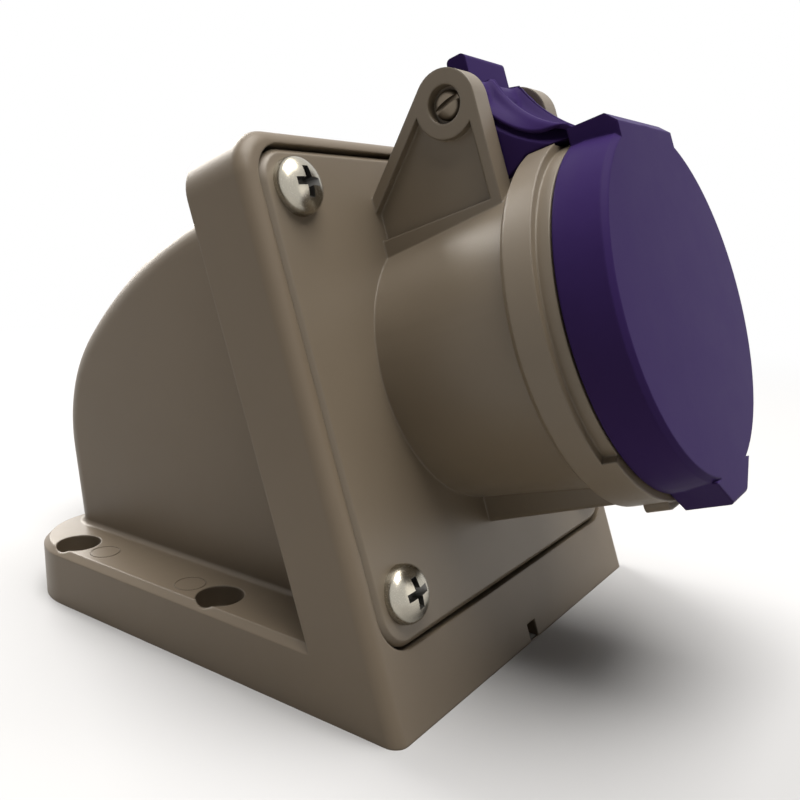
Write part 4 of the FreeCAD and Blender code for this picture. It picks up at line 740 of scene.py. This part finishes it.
dome = [(HEAD_RADIUS * math.sin(angle) ** HEAD_BULGE,
         -PIN_SEAT - HEAD_EDGE - (HEAD_RISE - HEAD_EDGE) * math.cos(angle))
        for angle in (math.radians(90 * step / (HEAD_RINGS - 1)) for step in range(HEAD_RINGS))]
dome[0] = (0, dome[0][1])
tail = PIN_SEAT + PIN_TAIL
pin_profile = dome + [(HEAD_RADIUS, -PIN_SEAT), (PIN_RADIUS, -PIN_SEAT),
                      (PIN_RADIUS, tail - TAIL_CHAMFER), (PIN_RADIUS - TAIL_CHAMFER, tail),
                      (0, tail)]
pin_draft = bpy.data.objects.new("pin_draft", turn_profile("pin_turned", pin_profile))
scene.collection.objects.link(pin_draft)
slot_block = bpy.data.objects.new("slot_block", block_mesh(
    "slot_block", SLOT_SIZE, (-PIN_SEAT - HEAD_RISE, 0, 0)))
slot_block.data.transform(Matrix.Rotation(SLOT_TURN, 4, "X"))
scene.collection.objects.link(slot_block)
slot_cut = pin_draft.modifiers.new("slot", "BOOLEAN")
slot_cut.object = slot_block
slot_cut.solver = "EXACT"
hinge_pin = applied(pin_draft, "hinge_pin_finished")
bpy.data.objects.remove(slot_block)
hinge_pin.data.set_sharp_from_angle(angle=SHARP_ANGLE)
move_into_mesh(hinge_pin, AT_HINGE)
set_finish(hinge_pin, plain_steel)
stands_for(hinge_pin, "hinge_pin")

# %% [markdown]
# ## Skin of the hinge arm
#
# Between the ears the cover's arm looks like draped cloth: two soft ridges run from the barrel and
# spread to the corners of the block. The solid underneath has thin straight ribs there. A height
# field is the easiest way to such a surface: for each point of a grid, a formula gives the height
# of barrel, saddle and ridges, blended so that nothing is sharp.

# %% Height of the skin
BARREL, ARM_HALF, RIM_OUT = 4.6, 10.25, 36.2
# Each arc of the arm's outline: start and end as (uphill, outward), then its radius
SADDLE = ((PIVOT_UP, 22.4), (30.6, RIM_OUT), 23.0)
CREST = ((44.5, 23.0), (31.0, RIM_OUT), 24.0)
BARREL_LIFT, SADDLE_LIFT, CREST_LIFT = 0.1, 0.15, 0.2
SADDLE_FROM, CREST_FROM, CREST_FADE = 21.5, 23.0, 3.5
BLEND, RIDGE_PLACE, RIDGE_WIDTH, RIDGE_SPREAD = 1.6, 5.0, 1.5, math.tan(math.radians(21))
ROLL_FROM, ROLL = 7.9, 0.3


def arc_height(arc, out):
    """Height of a hollow arc between two (uphill, outward) points, at one outward place."""
    start, end, radius = arc
    (up_0, out_0), (up_1, out_1) = start, end
    chord = math.dist(start, end)
    rise = math.sqrt(radius ** 2 - chord ** 2 / 4)
    normal = ((out_1 - out_0) / chord, (up_0 - up_1) / chord)
    centre_up = (up_0 + up_1) / 2 + normal[0] * rise
    centre_out = (out_0 + out_1) / 2 + normal[1] * rise
    inside = max(radius ** 2 - (out - centre_out) ** 2, 0)
    return centre_up - math.sqrt(inside)


def soft_max(first, second, blend):
    """The larger of two heights, with a rounded change between them."""
    gap = max(blend - abs(first - second), 0) / blend
    return max(first, second) + gap * gap * blend / 4


def skin_height(side, out):
    """Height above the collar's axis of the arm's skin at one place, in millimetres."""
    from_axis = out - PIVOT_OUT
    barrel = PIVOT_UP + math.sqrt(max((BARREL + BARREL_LIFT) ** 2 - from_axis ** 2, 0))
    saddle = arc_height(SADDLE, max(out, SADDLE_FROM)) + SADDLE_LIFT
    base = soft_max(barrel if from_axis < BARREL else 0, saddle, BLEND)
    crest = arc_height(CREST, max(out, CREST_FROM)) + CREST_LIFT
    if out < CREST_FROM:
        risen = max(out - (CREST_FROM - CREST_FADE), 0) / CREST_FADE
        crest = barrel + (crest - barrel) * risen
    middle = RIDGE_PLACE + max(out - CREST_FROM, -CREST_FADE) * RIDGE_SPREAD
    away = abs(abs(side) - middle)
    ridge = 1 / (1 + (away / RIDGE_WIDTH) ** 3)
    roll = max(abs(side) - ROLL_FROM, 0) ** 2 * ROLL
    return base + max(crest - base, 0) * ridge - roll * (1 - ridge)


# %% Skin mesh
SKIN_THICKNESS, LIP, LIP_SLOPE = 0.5, 1.2, 0.9


def make_arm_skin(across=72, along=44):
    """The height field as a thin closed sheet that turns with the cover."""
    shape = bmesh.new()
    rows = []
    for j in range(along + 1):
        out = PIVOT_OUT + (RIM_OUT + LIP - PIVOT_OUT) * j / along
        past = max(out - RIM_OUT, 0)
        row = []
        for i in range(across + 1):
            side = ARM_HALF * (2 * i / across - 1)
            up = skin_height(side, min(out, RIM_OUT)) - past * LIP_SLOPE
            row.append(shape.verts.new(on_face(side, up, out)))
        rows.append(row)
    for low, high in zip(rows, rows[1:]):
        for i in range(across):
            shape.faces.new((low[i], low[i + 1], high[i + 1], high[i]))
    bmesh.ops.recalc_face_normals(shape, faces=shape.faces)
    if sum((face.normal for face in shape.faces), Vector()).dot(UPHILL) < 0:
        bmesh.ops.reverse_faces(shape, faces=shape.faces)
    for face in shape.faces:
        face.smooth = True
    mesh = bpy.data.meshes.new("arm_skin")
    shape.to_mesh(mesh)
    shape.free()
    draft = bpy.data.objects.new("arm_skin_draft", mesh)
    scene.collection.objects.link(draft)
    wall = draft.modifiers.new("wall", "SOLIDIFY")
    wall.thickness = SKIN_THICKNESS * MM
    wall.offset = -1
    skin = applied(draft, "arm_skin")
    set_finish(skin, cover_plastic)
    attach(skin, BODY_OF["lid"])
    print("arm skin faces:", len(skin.data.polygons))


make_arm_skin()

# %% [markdown]
# ## Moulding marks on the flange
#
# Ejector pins leave faint rings where they push a moulding out of its tool. One shows beside a
# mounting hole. A thin ring, sunk to its middle in the surface, is enough to catch the light.

# %% Ejector marks
FLANGE_TOP = 11.5
MARK_PLACES = [(-39.7, -12.4), (39.7, -12.4), (-39.7, 12.4), (39.7, 12.4)]


def mark_tree():
    """A fine ring on every point of the mesh, lying flat."""
    tree, given, add = new_recipe("ejector_marks", Mark_Radius=mm(2.8), Line_Radius=mm(0.09))
    line = add("GeometryNodeCurvePrimitiveCircle", Resolution=64, Radius=given["Mark Radius"])
    section = add("GeometryNodeCurvePrimitiveCircle", Resolution=8, Radius=given["Line Radius"])
    ring = add("GeometryNodeCurveToMesh", Curve=line.outputs[0], Profile_Curve=section.outputs[0])
    placed = add("GeometryNodeInstanceOnPoints", Points=given["Geometry"],
                 Instance=ring.outputs[0])
    smooth = add("GeometryNodeSetShadeSmooth", Geometry=placed.outputs[0])
    finish_recipe(tree, add, smooth.outputs[0], housing_plastic)
    return tree


mark_points = bpy.data.meshes.new("mark_points")
mark_points.from_pydata([(x * MM, y * MM, FLANGE_TOP * MM) for x, y in MARK_PLACES], [], [])
marks = grow("ejector_marks", mark_tree(), mark_points)
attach(marks, BODY_OF["box"])
print("ejector marks faces:", len(marks.data.polygons))
